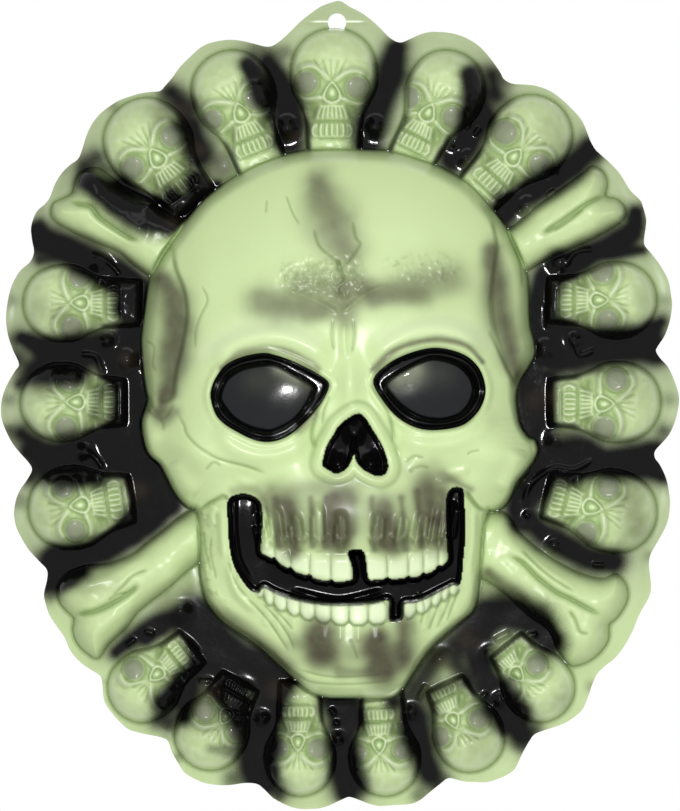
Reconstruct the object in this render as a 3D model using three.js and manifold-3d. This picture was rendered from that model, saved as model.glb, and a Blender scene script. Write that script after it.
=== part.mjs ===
// Wall decoration formed from one thin plastic sheet: a large skull over two
// crossed bones, with a ring of small skulls round it and a scalloped flange.
// X runs to the right, Z up and -Y out from the wall. The origin is the centre
// of the hanging hole, on the plane of the wall.

import * as THREE from 'three';
import { mergeVertices } from 'three/addons/utils/BufferGeometryUtils.js';
import Module from 'manifold-3d';

const wasm = await Module();
wasm.setup();

// Driving dimensions, in millimetres.
const plaqueWidth = 471;
const plaqueHeight = 561;
const sheetThickness = 1;
const seamGap = 0.3;
const cutOverrun = 5;
const holeDiameter = 12.7;
const holeBelowTop = 15.3;
const holeLeftOfMiddle = 2;

const skullWidth = 277;
const skullHeight = 381;
const skullWallHeight = 26;
const skullCrownDepth = 70;
const skullWallSlope = 3;

const eyeLipWidth = 2;
const eyeGrooveWidth = 5;
const eyeGrooveDepth = 17;
const leftEyeWidth = 81.7;
const leftEyeHeight = 61.3;
const rightEyeWidth = 77.6;
const rightEyeHeight = 56.8;
const eyeDomeRise = 14;

const noseWidth = 45;
const noseHeight = 45.7;
const noseLipWidth = 1.5;
const noseWallSlope = 2.5;
const noseFloorDepth = 20;

const mouthFloorHeight = 28;
const mouthLipWidth = 1.5;
const mouthWallSlope = 2.5;

const toothRelief = 2.4;
const toothGapDepth = 9;
const upperToothCount = 12;
const lowerToothCount = 14;

const boneHeight = 24;
const boneKnobRise = 4;
const boneGrooveDepth = 5;
const boneWallSlope = 2;

const smallSkullHeight = 23;
const smallSkullWallHeight = 9;
const smallSkullWallSlope = 2;
const smallEyeRise = 3.5;
const smallNoseRise = 3;
const smallTeethRise = 3;

// Colours and finishes of the bare plastic, the sprayed green and the black.
const paleGreen = { color: 0xc6da9f, roughness: 0.38, metalness: 0 };
const toothGreen = { color: 0xdcedc2, roughness: 0.36, metalness: 0 };
const gapBlack = { color: 0x1a1a19, roughness: 0.2, metalness: 0 };
const domeGrey = { color: 0x404349, roughness: 0.16, metalness: 0 };

// The flange: each row is where a scallop starts, in shares of the plaque's
// width and height from its middle, and how far the scallop bulges, in shares
// of its own span. The rows run clockwise from the hanging tab.
const scallopShares = [
  [-0.103, 0.4425, 0.335],
  [0.088, 0.4475, 0.24],
  [0.244, 0.4, 0.176],
  [0.3705, 0.32, 0.06],
  [0.4295, 0.2605, 0.16],
  [0.447, 0.2, 0.2],
  [0.4645, 0.0665, 0.226],
  [0.463, -0.0605, 0.165],
  [0.4545, -0.194, 0.11],
  [0.372, -0.342, 0.16],
  [0.281, -0.411, 0.25],
  [0.16, -0.4605, 0.177],
  [0.013, -0.484, 0.193],
  [-0.128, -0.4665, 0.238],
  [-0.2545, -0.4125, 0.22],
  [-0.3515, -0.336, 0.14],
  [-0.431, -0.2075, 0.229],
  [-0.453, -0.0765, 0.23],
  [-0.472, 0.052, 0.171],
  [-0.45, 0.1915, 0.175],
  [-0.432, 0.2495, 0.03],
  [-0.378, 0.3185, 0.184],
  [-0.26, 0.389, 0.225],
];
const scallopSteps = 6;
const scallopRoundness = 0.85;
const tabRoundness = 1.45;

// The large skull: its middle in shares of the plaque, and its outline in
// shares of its own width and height, clockwise from the crown.
const skullPlaceShare = [-0.003, -0.0245];
const skullOutlineShares = [
  [0.005, 0.502], [0.0925, 0.5], [0.205, 0.4835], [0.2925, 0.4545], [0.3675, 0.409],
  [0.43, 0.351], [0.465, 0.2965], [0.4775, 0.24], [0.482, 0.182], [0.4925, 0.14],
  [0.48, 0.109], [0.455, 0.082], [0.445, 0.0545], [0.4475, 0.0275], [0.458, 0],
  [0.48, -0.022], [0.5, -0.0455], [0.4675, -0.078], [0.4425, -0.1], [0.4175, -0.14],
  [0.385, -0.1565], [0.3725, -0.1725], [0.36, -0.2455], [0.3525, -0.29], [0.3475, -0.318],
  [0.305, -0.358], [0.23, -0.4055], [0.18, -0.458], [0.1425, -0.491], [0.055, -0.4965],
  [-0.025, -0.4965], [-0.0825, -0.478], [-0.145, -0.427], [-0.2075, -0.387],
  [-0.29, -0.342], [-0.3375, -0.3], [-0.3475, -0.227], [-0.3525, -0.1635],
  [-0.375, -0.149], [-0.4125, -0.118], [-0.445, -0.0725], [-0.4775, -0.04],
  [-0.4875, 0.009], [-0.475, 0.0455], [-0.4875, 0.1], [-0.4925, 0.1455],
  [-0.4825, 0.218], [-0.465, 0.282], [-0.42, 0.3365], [-0.37, 0.382],
  [-0.3075, 0.427], [-0.22, 0.467], [-0.145, 0.489], [-0.07, 0.5],
];
const skullRingShares = [0.95, 0.87, 0.78, 0.66, 0.54, 0.42, 0.3, 0.17];

// Swellings and hollows of the large skull: middle and reach in shares of its
// width and height, and rise in shares of its crown's depth.
const skullSwellingShares = {
  leftBrow: [-0.19, 0.18, 0.13, 0.05, 0.06],
  rightBrow: [0.16, 0.187, 0.13, 0.05, 0.06],
  leftCheek: [-0.3325, -0.045, 0.1, 0.06, 0.11],
  rightCheek: [0.405, -0.03, 0.08, 0.07, 0.11],
  upperJaw: [0.03, -0.17, 0.17, 0.07, 0.06],
  chin: [0.03, -0.42, 0.13, 0.06, 0.16],
  leftTemple: [-0.42, 0.165, 0.04, 0.12, -0.09],
  rightTemple: [0.4175, 0.17, 0.04, 0.12, -0.09],
};

// Eye sockets and nose: middle in shares of the skull, outline in shares of
// the piece's own width and height.
const leftEyePlaceShare = [-0.1725, 0.049];
const leftEyeOutlineShares = [
  [-0.49, 0.01], [-0.475, 0.145], [-0.43, 0.26], [-0.375, 0.36], [-0.27, 0.44],
  [-0.16, 0.485], [-0.035, 0.505], [0.18, 0.43], [0.415, 0.27], [0.51, 0.17],
  [0.485, 0.035], [0.365, -0.19], [0.16, -0.43], [-0.06, -0.49], [-0.265, -0.385],
  [-0.375, -0.295], [-0.45, -0.18],
];
const rightEyePlaceShare = [0.2275, 0.0655];
const rightEyeOutlineShares = [
  [-0.5, 0.11], [-0.355, 0.315], [-0.145, 0.45], [0.08, 0.5], [0.3125, 0.415],
  [0.4465, 0.245], [0.5, 0.01], [0.473, -0.185], [0.393, -0.34], [0.277, -0.45],
  [0.07, -0.5], [-0.107, -0.475], [-0.277, -0.355], [-0.42, -0.135],
];
const nosePlaceShare = [0.0425, -0.0345];
const noseHubShare = [0.03, 0.12];
const noseOutlineShares = [
  [0.03, 0.455], [0.185, 0.35], [0.325, 0.15], [0.43, -0.015], [0.49, -0.27],
  [0.46, -0.485], [0.355, -0.515], [0.215, -0.47], [0.09, -0.365], [-0.015, -0.15],
  [-0.09, -0.35], [-0.17, -0.44], [-0.29, -0.485], [-0.43, -0.41], [-0.49, -0.32],
  [-0.46, -0.12], [-0.34, 0.12], [-0.23, 0.29], [-0.11, 0.395],
];

// The bite: lines along the teeth and the mouth, left to right, in shares of
// the skull's width and height.
const upperGumShares = [
  [-0.19, -0.2035], [-0.1575, -0.2125], [-0.1175, -0.222], [-0.07, -0.229],
  [-0.0025, -0.231], [0.07, -0.229], [0.1425, -0.231], [0.2075, -0.2235],
  [0.2475, -0.211], [0.27, -0.196],
];
const upperBiteShares = [
  [-0.19, -0.231], [-0.16, -0.247], [-0.12, -0.2655], [-0.075, -0.276],
  [-0.0025, -0.2835], [0.07, -0.28], [0.1425, -0.278], [0.21, -0.2725],
  [0.255, -0.2565], [0.2725, -0.24],
];
const lowerBiteShares = [
  [-0.1875, -0.3], [-0.1325, -0.3145], [-0.07, -0.3255], [0.005, -0.331],
  [0.08, -0.3255], [0.155, -0.327], [0.2175, -0.318], [0.275, -0.2925],
];
const lowerGumShares = [
  [-0.18, -0.3255], [-0.1275, -0.342], [-0.07, -0.3545], [0.005, -0.362],
  [0.085, -0.362], [0.1625, -0.353], [0.2225, -0.3365], [0.2775, -0.3145],
];
const mouthInnerShares = [
  [-0.2, -0.14], [-0.195, -0.173], [-0.195, -0.209], ...upperBiteShares,
  [0.27, -0.191], [0.275, -0.131],
];
const mouthOuterShares = [
  [-0.28, -0.136], [-0.28, -0.182], [-0.2675, -0.249], [-0.2375, -0.287],
  ...lowerBiteShares, [0.305, -0.2635], [0.3125, -0.209], [0.315, -0.133],
];
const mouthEndRiseShare = 0.012;
const jawLeftSeamShares = [[-0.7, -0.156], [-0.355, -0.156], [-0.315, -0.1475]];
const jawRightSeamShares = [[0.345, -0.1455], [0.385, -0.1565], [0.7, -0.1565]];
const jawFootShares = [[0.7, -0.7], [-0.7, -0.7]];
const upperGapShare = 0.535;
const lowerGapShare = 0.685;
const toothGapWidthShare = 0.03;

// Crossed bones: the knobbed end and the end at the skull, in shares of the
// plaque, with half the width of each end in millimetres.
const upperBoneKnobHalfWidth = 22;
const upperBoneShaftHalfWidth = 17;
const lowerBoneKnobHalfWidth = 26;
const lowerBoneShaftHalfWidth = 20;
const upperBoneHalfWidths = [upperBoneKnobHalfWidth, upperBoneShaftHalfWidth];
const lowerBoneHalfWidths = [lowerBoneKnobHalfWidth, lowerBoneShaftHalfWidth];
const boneShares = {
  upper_left_bone: [-0.3985, 0.257, -0.235, 0.1815],
  upper_right_bone: [0.4015, 0.2555, 0.2425, 0.1815],
  lower_left_bone: [-0.394, -0.2715, -0.1985, -0.154],
  lower_right_bone: [0.4, -0.263, 0.203, -0.1605],
};
const boneColumnShares = [0, 0.04, 0.14, 0.26, 0.4, 0.6, 0.8, 1];
const boneRowShares = [-1, -0.9, -0.6, -0.3, 0, 0.3, 0.6, 0.9, 1];
const boneEndNotchShare = 0.1;
const boneEndRoundShare = 0.13;

// Small skulls, clockwise from the top: middle of the cranium in shares of the
// plaque, the way the jaw points in degrees, and the cranium's size in shares
// of the largest one's radius.
const smallCraniumRadius = 29;
const smallSkullShares = [
  [-0.009, 0.4085, -90, 0.97],
  [0.157, 0.391, -117, 0.91],
  [0.282, 0.333, -133, 0.955],
  [0.412, 0.1295, 180, 0.885],
  [0.415, 0.0035, 180, 0.93],
  [0.407, -0.132, 166, 0.955],
  [0.294, -0.3495, 128.5, 0.82],
  [0.191, -0.411, 115, 0.82],
  [0.066, -0.441, 93, 0.82],
  [-0.059, -0.441, 90, 0.82],
  [-0.191, -0.4075, 60.5, 0.835],
  [-0.291, -0.3495, 39.5, 0.82],
  [-0.4, -0.127, 8.5, 0.955],
  [-0.415, 0.0035, 0, 0.91],
  [-0.412, 0.126, 0, 0.885],
  [-0.285, 0.327, -53, 1],
  [-0.159, 0.389, -68.5, 0.955],
];

// Half the outline of a small skull, from the back of the cranium to the end
// of the jaw, in shares of the cranium's radius.
const smallHalfOutlineShares = [
  [-0.9, 0.44], [-0.6, 0.8], [-0.1, 1], [0.45, 0.9], [0.85, 0.66],
  [1.35, 0.57], [1.95, 0.6], [2.4, 0.56],
];
const smallHubShare = 0.45;
const smallRingShares = [0.76, 0.42];
const smallEyeShares = [[0.42, 0.6, 0.26], [0.42, -0.6, 0.26]];
const smallNoseShare = [0.62, 0, 0.16];
const smallTeethShare = [1.3, 0, 0.4];
const smallJawDropShare = 0.22;

// Plan places on the wall, from the middle of the plaque.
const plaqueMiddle = new THREE.Vector2(holeLeftOfMiddle, holeBelowTop - plaqueHeight / 2);

function plaquePoint([x, y]) {
  return new THREE.Vector2(x * plaqueWidth, y * plaqueHeight).add(plaqueMiddle);
}

const skullMiddle = plaquePoint(skullPlaceShare);

function skullPoint([x, y]) {
  return new THREE.Vector2(x * skullWidth, y * skullHeight).add(skullMiddle);
}

function outlineAbout(middle, width, height, shares) {
  return shares.map(([x, y]) => new THREE.Vector2(x * width, y * height).add(middle));
}

// Moves each corner of a closed outline outwards, square to its two sides.
function grownOutline(outline, distance) {
  const turn = THREE.ShapeUtils.isClockWise(outline) ? 1 : -1;
  return outline.map((corner, i) => {
    const before = outline[(i + outline.length - 1) % outline.length];
    const after = outline[(i + 1) % outline.length];
    const sideIn = corner.clone().sub(before).normalize();
    const sideOut = after.clone().sub(corner).normalize();
    const outIn = new THREE.Vector2(-sideIn.y, sideIn.x).multiplyScalar(turn);
    const outOut = new THREE.Vector2(-sideOut.y, sideOut.x).multiplyScalar(turn);
    const mitre = outIn.clone().add(outOut).normalize();
    const stretch = 1 / Math.max(mitre.dot(outIn), 0.5);
    return corner.clone().addScaledVector(mitre, distance * stretch);
  });
}

// Distance from a hub to a star-shaped outline, towards a point. A ray through
// a corner meets at least one of the two sides there.
const cornerShare = 1e-6;

function reachTowards(outline, hub, point) {
  const ray = point.clone().sub(hub).normalize();
  let reach = 0;
  outline.forEach((corner, i) => {
    const start = corner.clone().sub(hub);
    const side = outline[(i + 1) % outline.length].clone().sub(corner);
    const across = ray.cross(side);
    if (across === 0) return;
    const along = start.cross(side) / across;
    const share = start.cross(ray) / across;
    const meets = share > -cornerShare && share < 1 + cornerShare;
    if (along > 0 && meets) reach = Math.max(reach, along);
  });
  return reach;
}

function bell(point, middle, reachX, reachY) {
  const x = (point.x - middle.x) / reachX;
  const y = (point.y - middle.y) / reachY;
  return Math.exp(-(x * x + y * y) / 2);
}

function smoothStep(from, to, value) {
  return THREE.MathUtils.smoothstep(value, from, to);
}

// Joins and cuts.
function solidOf(geometry) {
  const bare = geometry.clone();
  bare.deleteAttribute('normal');
  bare.deleteAttribute('uv');
  const merged = mergeVertices(bare);
  return new wasm.Manifold(new wasm.Mesh({
    numProp: 3,
    vertProperties: new Float32Array(merged.attributes.position.array),
    triVerts: new Uint32Array(merged.index.array),
  }));
}

function geometryOf(solid) {
  const mesh = solid.getMesh();
  const geometry = new THREE.BufferGeometry();
  geometry.setAttribute('position', new THREE.BufferAttribute(mesh.vertProperties, 3));
  geometry.setIndex(new THREE.BufferAttribute(mesh.triVerts, 1));
  geometry.computeVertexNormals();
  return geometry;
}

// A straight cutter over an outline, through everything that stands on the wall.
function prism(outline) {
  const depth = skullCrownDepth * 2 + cutOverrun * 2;
  const geometry = new THREE.ExtrudeGeometry(new THREE.Shape(outline), {
    depth,
    bevelEnabled: false,
  });
  geometry.translate(0, 0, -cutOverrun);
  return solidOf(geometry);
}

// Cuts the outlines out of a solid and leaves away any crumb that comes loose.
function cut(solid, outlines) {
  const rest = outlines.reduce((body, outline) => body.subtract(prism(outline)), solid);
  return rest.decompose().reduce((best, body) => (body.volume() > best.volume() ? body : best));
}

// A shell over a net of plan points. Each point is [x, y, height]; the back
// lies one sheet thickness behind the front, square to it. Along the border
// the back keeps the front's plan place, or steps in where it stands on the wall.
function reliefShell(points, triangles, border) {
  const front = points.map((p) => new THREE.Vector3(p[0], p[1], p[2]));
  const normals = front.map(() => new THREE.Vector3());
  triangles.forEach(([a, b, c]) => {
    const side = front[b].clone().sub(front[a]);
    const facing = side.cross(front[c].clone().sub(front[a]));
    [a, b, c].forEach((i) => normals[i].add(facing));
  });
  const onBorder = new Set(border);
  const back = front.map((point, i) => {
    const normal = normals[i].normalize();
    if (!onBorder.has(i)) return point.clone().addScaledVector(normal, -sheetThickness);
    if (point.z > sheetThickness) {
      return new THREE.Vector3(point.x, point.y, point.z - sheetThickness);
    }
    const inwards = new THREE.Vector3(normal.x, normal.y, 0).normalize();
    return point.clone().addScaledVector(inwards, -sheetThickness);
  });
  const count = front.length;
  const index = [];
  triangles.forEach(([a, b, c]) => {
    index.push(a, b, c);
    index.push(c + count, b + count, a + count);
  });
  border.forEach((a, i) => {
    const b = border[(i + 1) % border.length];
    index.push(b, a, a + count);
    index.push(b, a + count, b + count);
  });
  const geometry = new THREE.BufferGeometry();
  const places = [...front, ...back].flatMap((p) => [p.x, p.y, p.z]);
  geometry.setAttribute('position', new THREE.Float32BufferAttribute(places, 3));
  geometry.setIndex(index);
  return geometry;
}

// Rings of points round a hub, from the outermost ring inwards. heightAt gives
// the height at a plan point on a ring.
function ringShell(rings, hub, heightAt) {
  const size = rings[0].length;
  const clockwise = THREE.ShapeUtils.isClockWise(rings[0]);
  const ordered = clockwise ? rings.map((ring) => [...ring].reverse()) : rings;
  const points = [];
  ordered.forEach((ring, r) => {
    ring.forEach((p) => points.push([p.x, p.y, heightAt(p, r)]));
  });
  points.push([hub.x, hub.y, heightAt(hub, rings.length)]);
  const last = points.length - 1;
  const triangles = [];
  for (let r = 0; r < rings.length; r += 1) {
    for (let i = 0; i < size; i += 1) {
      const a = r * size + i;
      const b = r * size + ((i + 1) % size);
      if (r === rings.length - 1) {
        triangles.push([a, b, last]);
      } else {
        triangles.push([a, b, b + size]);
        triangles.push([a, b + size, a + size]);
      }
    }
  }
  return reliefShell(points, triangles, [...Array(size).keys()]);
}

// Columns of points, all alike in number. heightAt gives the height at a plan
// point in a column and row.
function stripShell(columns, heightAt) {
  const rows = columns[0].length;
  const points = [];
  columns.forEach((column, c) => {
    column.forEach((p, r) => points.push([p.x, p.y, heightAt(p, c, r)]));
  });
  const triangles = [];
  for (let c = 0; c < columns.length - 1; c += 1) {
    for (let r = 0; r < rows - 1; r += 1) {
      const a = c * rows + r;
      triangles.push([a, a + rows, a + rows + 1]);
      triangles.push([a, a + rows + 1, a + 1]);
    }
  }
  const lastColumn = (columns.length - 1) * rows;
  const border = [];
  for (let c = 0; c < columns.length; c += 1) border.push(c * rows);
  for (let r = 1; r < rows; r += 1) border.push(lastColumn + r);
  for (let c = columns.length - 2; c >= 0; c -= 1) border.push(c * rows + rows - 1);
  for (let r = rows - 2; r > 0; r -= 1) border.push(r);
  return reliefShell(points, triangles, border);
}

function scaledRing(outline, hub, share) {
  return outline.map((corner) => hub.clone().lerp(corner, share));
}

// The large skull as one form, before its pieces are cut out of it.
const skullOutline = skullOutlineShares.map(skullPoint);

function skullRelief(point) {
  const spoke = point.distanceTo(skullMiddle);
  const share = spoke === 0 ? 0 : spoke / reachTowards(skullOutline, skullMiddle, point);
  const crown = Math.max(1 - Math.min(share, 1) ** 2.2, 0) ** 0.7;
  let height = skullWallHeight + (skullCrownDepth - skullWallHeight) * crown;
  Object.values(skullSwellingShares).forEach(([x, y, reachX, reachY, rise]) => {
    const middle = skullPoint([x, y]);
    height += rise * skullCrownDepth
      * bell(point, middle, reachX * skullWidth, reachY * skullHeight);
  });
  return height;
}

function wholeSkull() {
  const rings = [
    skullOutline,
    grownOutline(skullOutline, -skullWallSlope),
    ...skullRingShares.map((share) => scaledRing(skullOutline, skullMiddle, share)),
  ];
  const heightAt = (point, ring) => (ring === 0 ? 0 : skullRelief(point));
  return solidOf(ringShell(rings, skullMiddle, heightAt));
}

// Outlines of the pieces that sit in the large skull.
const leftEyeMiddle = skullPoint(leftEyePlaceShare);
const rightEyeMiddle = skullPoint(rightEyePlaceShare);
const noseMiddle = skullPoint(nosePlaceShare);
const leftEyeOutline = outlineAbout(
  leftEyeMiddle, leftEyeWidth, leftEyeHeight, leftEyeOutlineShares,
);
const rightEyeOutline = outlineAbout(
  rightEyeMiddle, rightEyeWidth, rightEyeHeight, rightEyeOutlineShares,
);
const noseOutline = outlineAbout(noseMiddle, noseWidth, noseHeight, noseOutlineShares);

// Points across a band between two lines of equal count, drawn in by half a
// seam at every side.
function bandColumns(innerLine, outerLine, rowShares, endRise) {
  return innerLine.map((inner, i) => {
    const outer = outerLine[i];
    const atEnd = i === 0 || i === innerLine.length - 1;
    const trim = seamGap / 2 / inner.distanceTo(outer);
    return rowShares.map((share) => {
      const point = inner.clone().lerp(outer, trim + share * (1 - 2 * trim));
      if (atEnd) point.y += endRise * 4 * share * (1 - share);
      return point;
    });
  });
}

function bandOutline(columns) {
  const rows = columns[0].length;
  const firstLine = columns.map((column) => column[0]);
  const lastLine = columns.map((column) => column[rows - 1]).reverse();
  const firstEnd = columns[0].slice(1, rows - 1).reverse();
  const lastEnd = columns[columns.length - 1].slice(1, rows - 1);
  return [...firstLine, ...lastEnd, ...lastLine, ...firstEnd];
}

const mouthInnerLine = mouthInnerShares.map(skullPoint);
const mouthOuterLine = mouthOuterShares.map(skullPoint);

function mouthRowShares(width) {
  const lip = mouthLipWidth / width;
  const wall = (mouthLipWidth + mouthWallSlope) / width;
  return [0, lip, wall, 0.5, 1 - wall, 1 - lip, 1];
}

// The mouth's columns run from the outer line to the inner one, so that the
// strip faces out from the wall.
const mouthColumns = mouthOuterLine.map((outer, i) => {
  const inner = mouthInnerLine[i];
  const rowShares = mouthRowShares(outer.distanceTo(inner));
  const atEnd = i === 0 || i === mouthOuterLine.length - 1;
  const endRise = atEnd ? mouthEndRiseShare * skullHeight : 0;
  return bandColumns([outer], [inner], rowShares, endRise)[0];
});

function linePoint(line, share) {
  const place = share * (line.length - 1);
  const step = Math.min(Math.floor(place), line.length - 2);
  return line[step].clone().lerp(line[step + 1], place - step);
}

// A row of teeth between its biting edge and its gum. Every tooth has a column
// at its middle and one at each side.
function toothColumns(fromShares, toShares, toothCount) {
  const fromLine = fromShares.map(skullPoint);
  const toLine = toShares.map(skullPoint);
  const steps = toothCount * 2;
  const shares = Array.from({ length: steps + 1 }, (_, i) => i / steps);
  const from = shares.map((share) => linePoint(fromLine, share));
  const to = shares.map((share) => linePoint(toLine, share));
  return bandColumns(from, to, [0, 0.5, 1], 0);
}

const upperTeethColumns = toothColumns(upperBiteShares, upperGumShares, upperToothCount);
const lowerTeethColumns = toothColumns(lowerGumShares, lowerBiteShares, lowerToothCount);
const upperTeethOutline = bandOutline(upperTeethColumns);
const lowerTeethOutline = bandOutline(lowerTeethColumns);
const mouthOutline = bandOutline(mouthColumns);

const jawBlank = [
  ...jawLeftSeamShares.map(skullPoint),
  ...mouthOuterLine,
  ...jawRightSeamShares.map(skullPoint),
  ...jawFootShares.map(skullPoint),
];

function cranium() {
  const openings = [
    leftEyeOutline, rightEyeOutline, noseOutline, mouthOutline, upperTeethOutline, jawBlank,
  ];
  return cut(wholeSkull(), openings.map((outline) => grownOutline(outline, seamGap)));
}

function lowerJaw() {
  const openings = [mouthOutline, lowerTeethOutline];
  const jaw = wholeSkull().intersect(prism(jawBlank));
  return cut(jaw, openings.map((outline) => grownOutline(outline, seamGap)));
}

// A socket with a groove round a convex, unpainted dome.
function eyeDome(outline, middle) {
  const grooveStart = eyeLipWidth + eyeGrooveWidth / 2;
  const grooveEnd = eyeLipWidth + eyeGrooveWidth;
  const domeEdge = grownOutline(outline, -grooveEnd);
  const rings = [
    outline,
    grownOutline(outline, -eyeLipWidth),
    grownOutline(outline, -grooveStart),
    domeEdge,
    scaledRing(domeEdge, middle, 0.72),
    scaledRing(domeEdge, middle, 0.38),
  ];
  const domeShares = [0, 0, 0, 0.15, 0.68, 0.93, 1];
  const grooveHeight = skullRelief(middle) - eyeGrooveDepth;
  return ringShell(rings, middle, (point, ring) => {
    if (ring < 2) return skullRelief(point);
    return grooveHeight + eyeDomeRise * domeShares[ring];
  });
}

function noseRecess() {
  const hub = outlineAbout(noseMiddle, noseWidth, noseHeight, [noseHubShare])[0];
  const rings = [
    noseOutline,
    grownOutline(noseOutline, -noseLipWidth),
    grownOutline(noseOutline, -noseLipWidth - noseWallSlope),
  ];
  return ringShell(rings, hub, (point, ring) => {
    if (ring < 2) return skullRelief(point);
    return skullRelief(hub) - noseFloorDepth;
  });
}

function mouthRecess() {
  const lastRow = mouthColumns[0].length - 1;
  const lastColumn = mouthColumns.length - 1;
  return stripShell(mouthColumns, (point, column, row) => {
    const atRim = row < 2 || row > lastRow - 2;
    if (atRim || column === 0 || column === lastColumn) return skullRelief(point);
    return mouthFloorHeight;
  });
}

// Teeth stand proud between their gaps; at one place a tooth is missing.
function teeth(columns, gapShare) {
  const lastColumn = columns.length - 1;
  return stripShell(columns, (point, column) => {
    const share = column / lastColumn;
    const proud = column % 2 === 1 ? toothRelief : 0;
    const gap = Math.abs(share - gapShare) < toothGapWidthShare ? toothGapDepth : 0;
    return skullRelief(point) + (gap ? -gap : proud);
  });
}

// A bone from its knobbed end to the skull.
function boneFrame([knobX, knobY, shaftX, shaftY]) {
  const knob = plaquePoint([knobX, knobY]);
  const shaft = plaquePoint([shaftX, shaftY]);
  const length = knob.distanceTo(shaft);
  const along = shaft.clone().sub(knob).normalize();
  const across = new THREE.Vector2(-along.y, along.x);
  return { knob, length, along, across };
}

function bonePoint(frame, halfWidths, columnShare, rowShare) {
  const [knobHalfWidth, shaftHalfWidth] = halfWidths;
  const flare = smoothStep(0.45, 0.12, columnShare);
  const halfWidth = THREE.MathUtils.lerp(shaftHalfWidth, knobHalfWidth, flare);
  const notch = boneEndNotchShare * Math.exp(-((rowShare / 0.22) ** 2));
  const round = boneEndRoundShare * rowShare ** 4;
  const start = (notch + round) * (1 - columnShare);
  return frame.knob.clone()
    .addScaledVector(frame.along, (columnShare + start) * frame.length)
    .addScaledVector(frame.across, rowShare * halfWidth);
}

function bone(shares, halfWidths) {
  const frame = boneFrame(shares);
  const endShare = boneWallSlope / frame.length;
  const columnShares = boneColumnShares.map((share, i) => (i === 1 ? endShare : share));
  const columns = columnShares.map((columnShare) => (
    boneRowShares.map((rowShare) => bonePoint(frame, halfWidths, columnShare, rowShare))
  ));
  const lastRow = boneRowShares.length - 1;
  return stripShell(columns, (point, column, row) => {
    if (column === 0 || column === columns.length - 1) return 0;
    if (row === 0 || row === lastRow) return 0;
    const rowShare = boneRowShares[row];
    const knobShare = smoothStep(0.45, 0.1, columnShares[column]);
    const crown = (1 - Math.abs(rowShare) ** 2.6) ** 0.5;
    const groove = boneGrooveDepth * knobShare * Math.exp(-((rowShare / 0.25) ** 2));
    return boneHeight * crown + boneKnobRise * knobShare * crown - groove;
  });
}

function boneOutline(shares, halfWidths) {
  const frame = boneFrame(shares);
  const columns = boneColumnShares.map((columnShare) => (
    boneRowShares.map((rowShare) => bonePoint(frame, halfWidths, columnShare, rowShare))
  ));
  return bandOutline(columns);
}

// A small skull: cranium, two domed eyes, nose and a block of teeth.
function smallSkullFrame([x, y, degrees, size]) {
  const middle = plaquePoint([x, y]);
  const turn = THREE.MathUtils.degToRad(degrees);
  const along = new THREE.Vector2(Math.cos(turn), Math.sin(turn));
  const across = new THREE.Vector2(-along.y, along.x);
  return { middle, along, across, radius: size * smallCraniumRadius };
}

function smallPoint(frame, [along, across]) {
  return frame.middle.clone()
    .addScaledVector(frame.along, along * frame.radius)
    .addScaledVector(frame.across, across * frame.radius);
}

function smallSkullOutline(frame) {
  const half = smallHalfOutlineShares;
  const other = [...half].reverse().map(([along, across]) => [along, -across]);
  const shares = [[-1, 0], ...half, ...other];
  return shares.map((share) => smallPoint(frame, share));
}

function smallBump(frame, point, [along, across, reach], rise) {
  const size = reach * frame.radius;
  return rise * bell(point, smallPoint(frame, [along, across]), size, size);
}

function smallSkull(frame) {
  const outline = smallSkullOutline(frame);
  const hub = smallPoint(frame, [smallHubShare, 0]);
  const rings = [
    outline,
    grownOutline(outline, -smallSkullWallSlope),
    ...smallRingShares.map((share) => scaledRing(outline, hub, share)),
  ];
  return ringShell(rings, hub, (point, ring) => {
    if (ring === 0) return 0;
    const share = point.distanceTo(hub) / Math.max(reachTowards(outline, hub, point), 1);
    const crown = Math.max(1 - share ** 2.4, 0) ** 0.6;
    const along = point.clone().sub(frame.middle).dot(frame.along) / frame.radius;
    const drop = smallJawDropShare * smoothStep(0.6, 1.6, along);
    const domed = (smallSkullHeight * (1 - drop) - smallSkullWallHeight) * crown;
    const eyes = smallEyeShares.reduce(
      (sum, eye) => sum + smallBump(frame, point, eye, smallEyeRise), 0,
    );
    const nose = smallBump(frame, point, smallNoseShare, smallNoseRise);
    const teethBlock = smallBump(frame, point, smallTeethShare, smallTeethRise);
    return smallSkullWallHeight + domed + eyes + nose + teethBlock;
  });
}

// The scalloped flange and the floor between the raised forms.
function scallopedOutline() {
  const starts = scallopShares.map(plaquePoint);
  return starts.flatMap((start, i) => {
    const end = starts[(i + 1) % starts.length];
    const span = end.clone().sub(start);
    const out = new THREE.Vector2(-span.y, span.x);
    const roundness = i === 0 ? tabRoundness : scallopRoundness;
    return Array.from({ length: scallopSteps }, (_, step) => {
      const share = step / scallopSteps;
      const bulge = scallopShares[i][2] * Math.sin(Math.PI * share) ** roundness;
      return start.clone().addScaledVector(span, share).addScaledVector(out, bulge);
    });
  });
}

function backingSheet(raisedOutlines) {
  const shape = new THREE.Shape(scallopedOutline());
  const hole = new THREE.Path();
  hole.absarc(0, 0, holeDiameter / 2, 0, Math.PI * 2);
  shape.holes.push(hole);
  const plate = new THREE.ExtrudeGeometry(shape, {
    depth: sheetThickness,
    bevelEnabled: false,
    curveSegments: 12,
  });
  return cut(solidOf(plate), raisedOutlines.map((outline) => grownOutline(outline, seamGap)));
}

// Assembly. The relief is built facing +Z and stood up against the wall.
const decoration = new THREE.Group();
decoration.rotation.x = Math.PI / 2;

function addPiece(name, geometry, finish) {
  const mesh = new THREE.Mesh(geometry, new THREE.MeshStandardMaterial(finish));
  mesh.name = name;
  decoration.add(mesh);
}

const smallFrames = smallSkullShares.map(smallSkullFrame);
const smallOutlines = smallFrames.map(smallSkullOutline);
const boneNames = Object.keys(boneShares);

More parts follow.
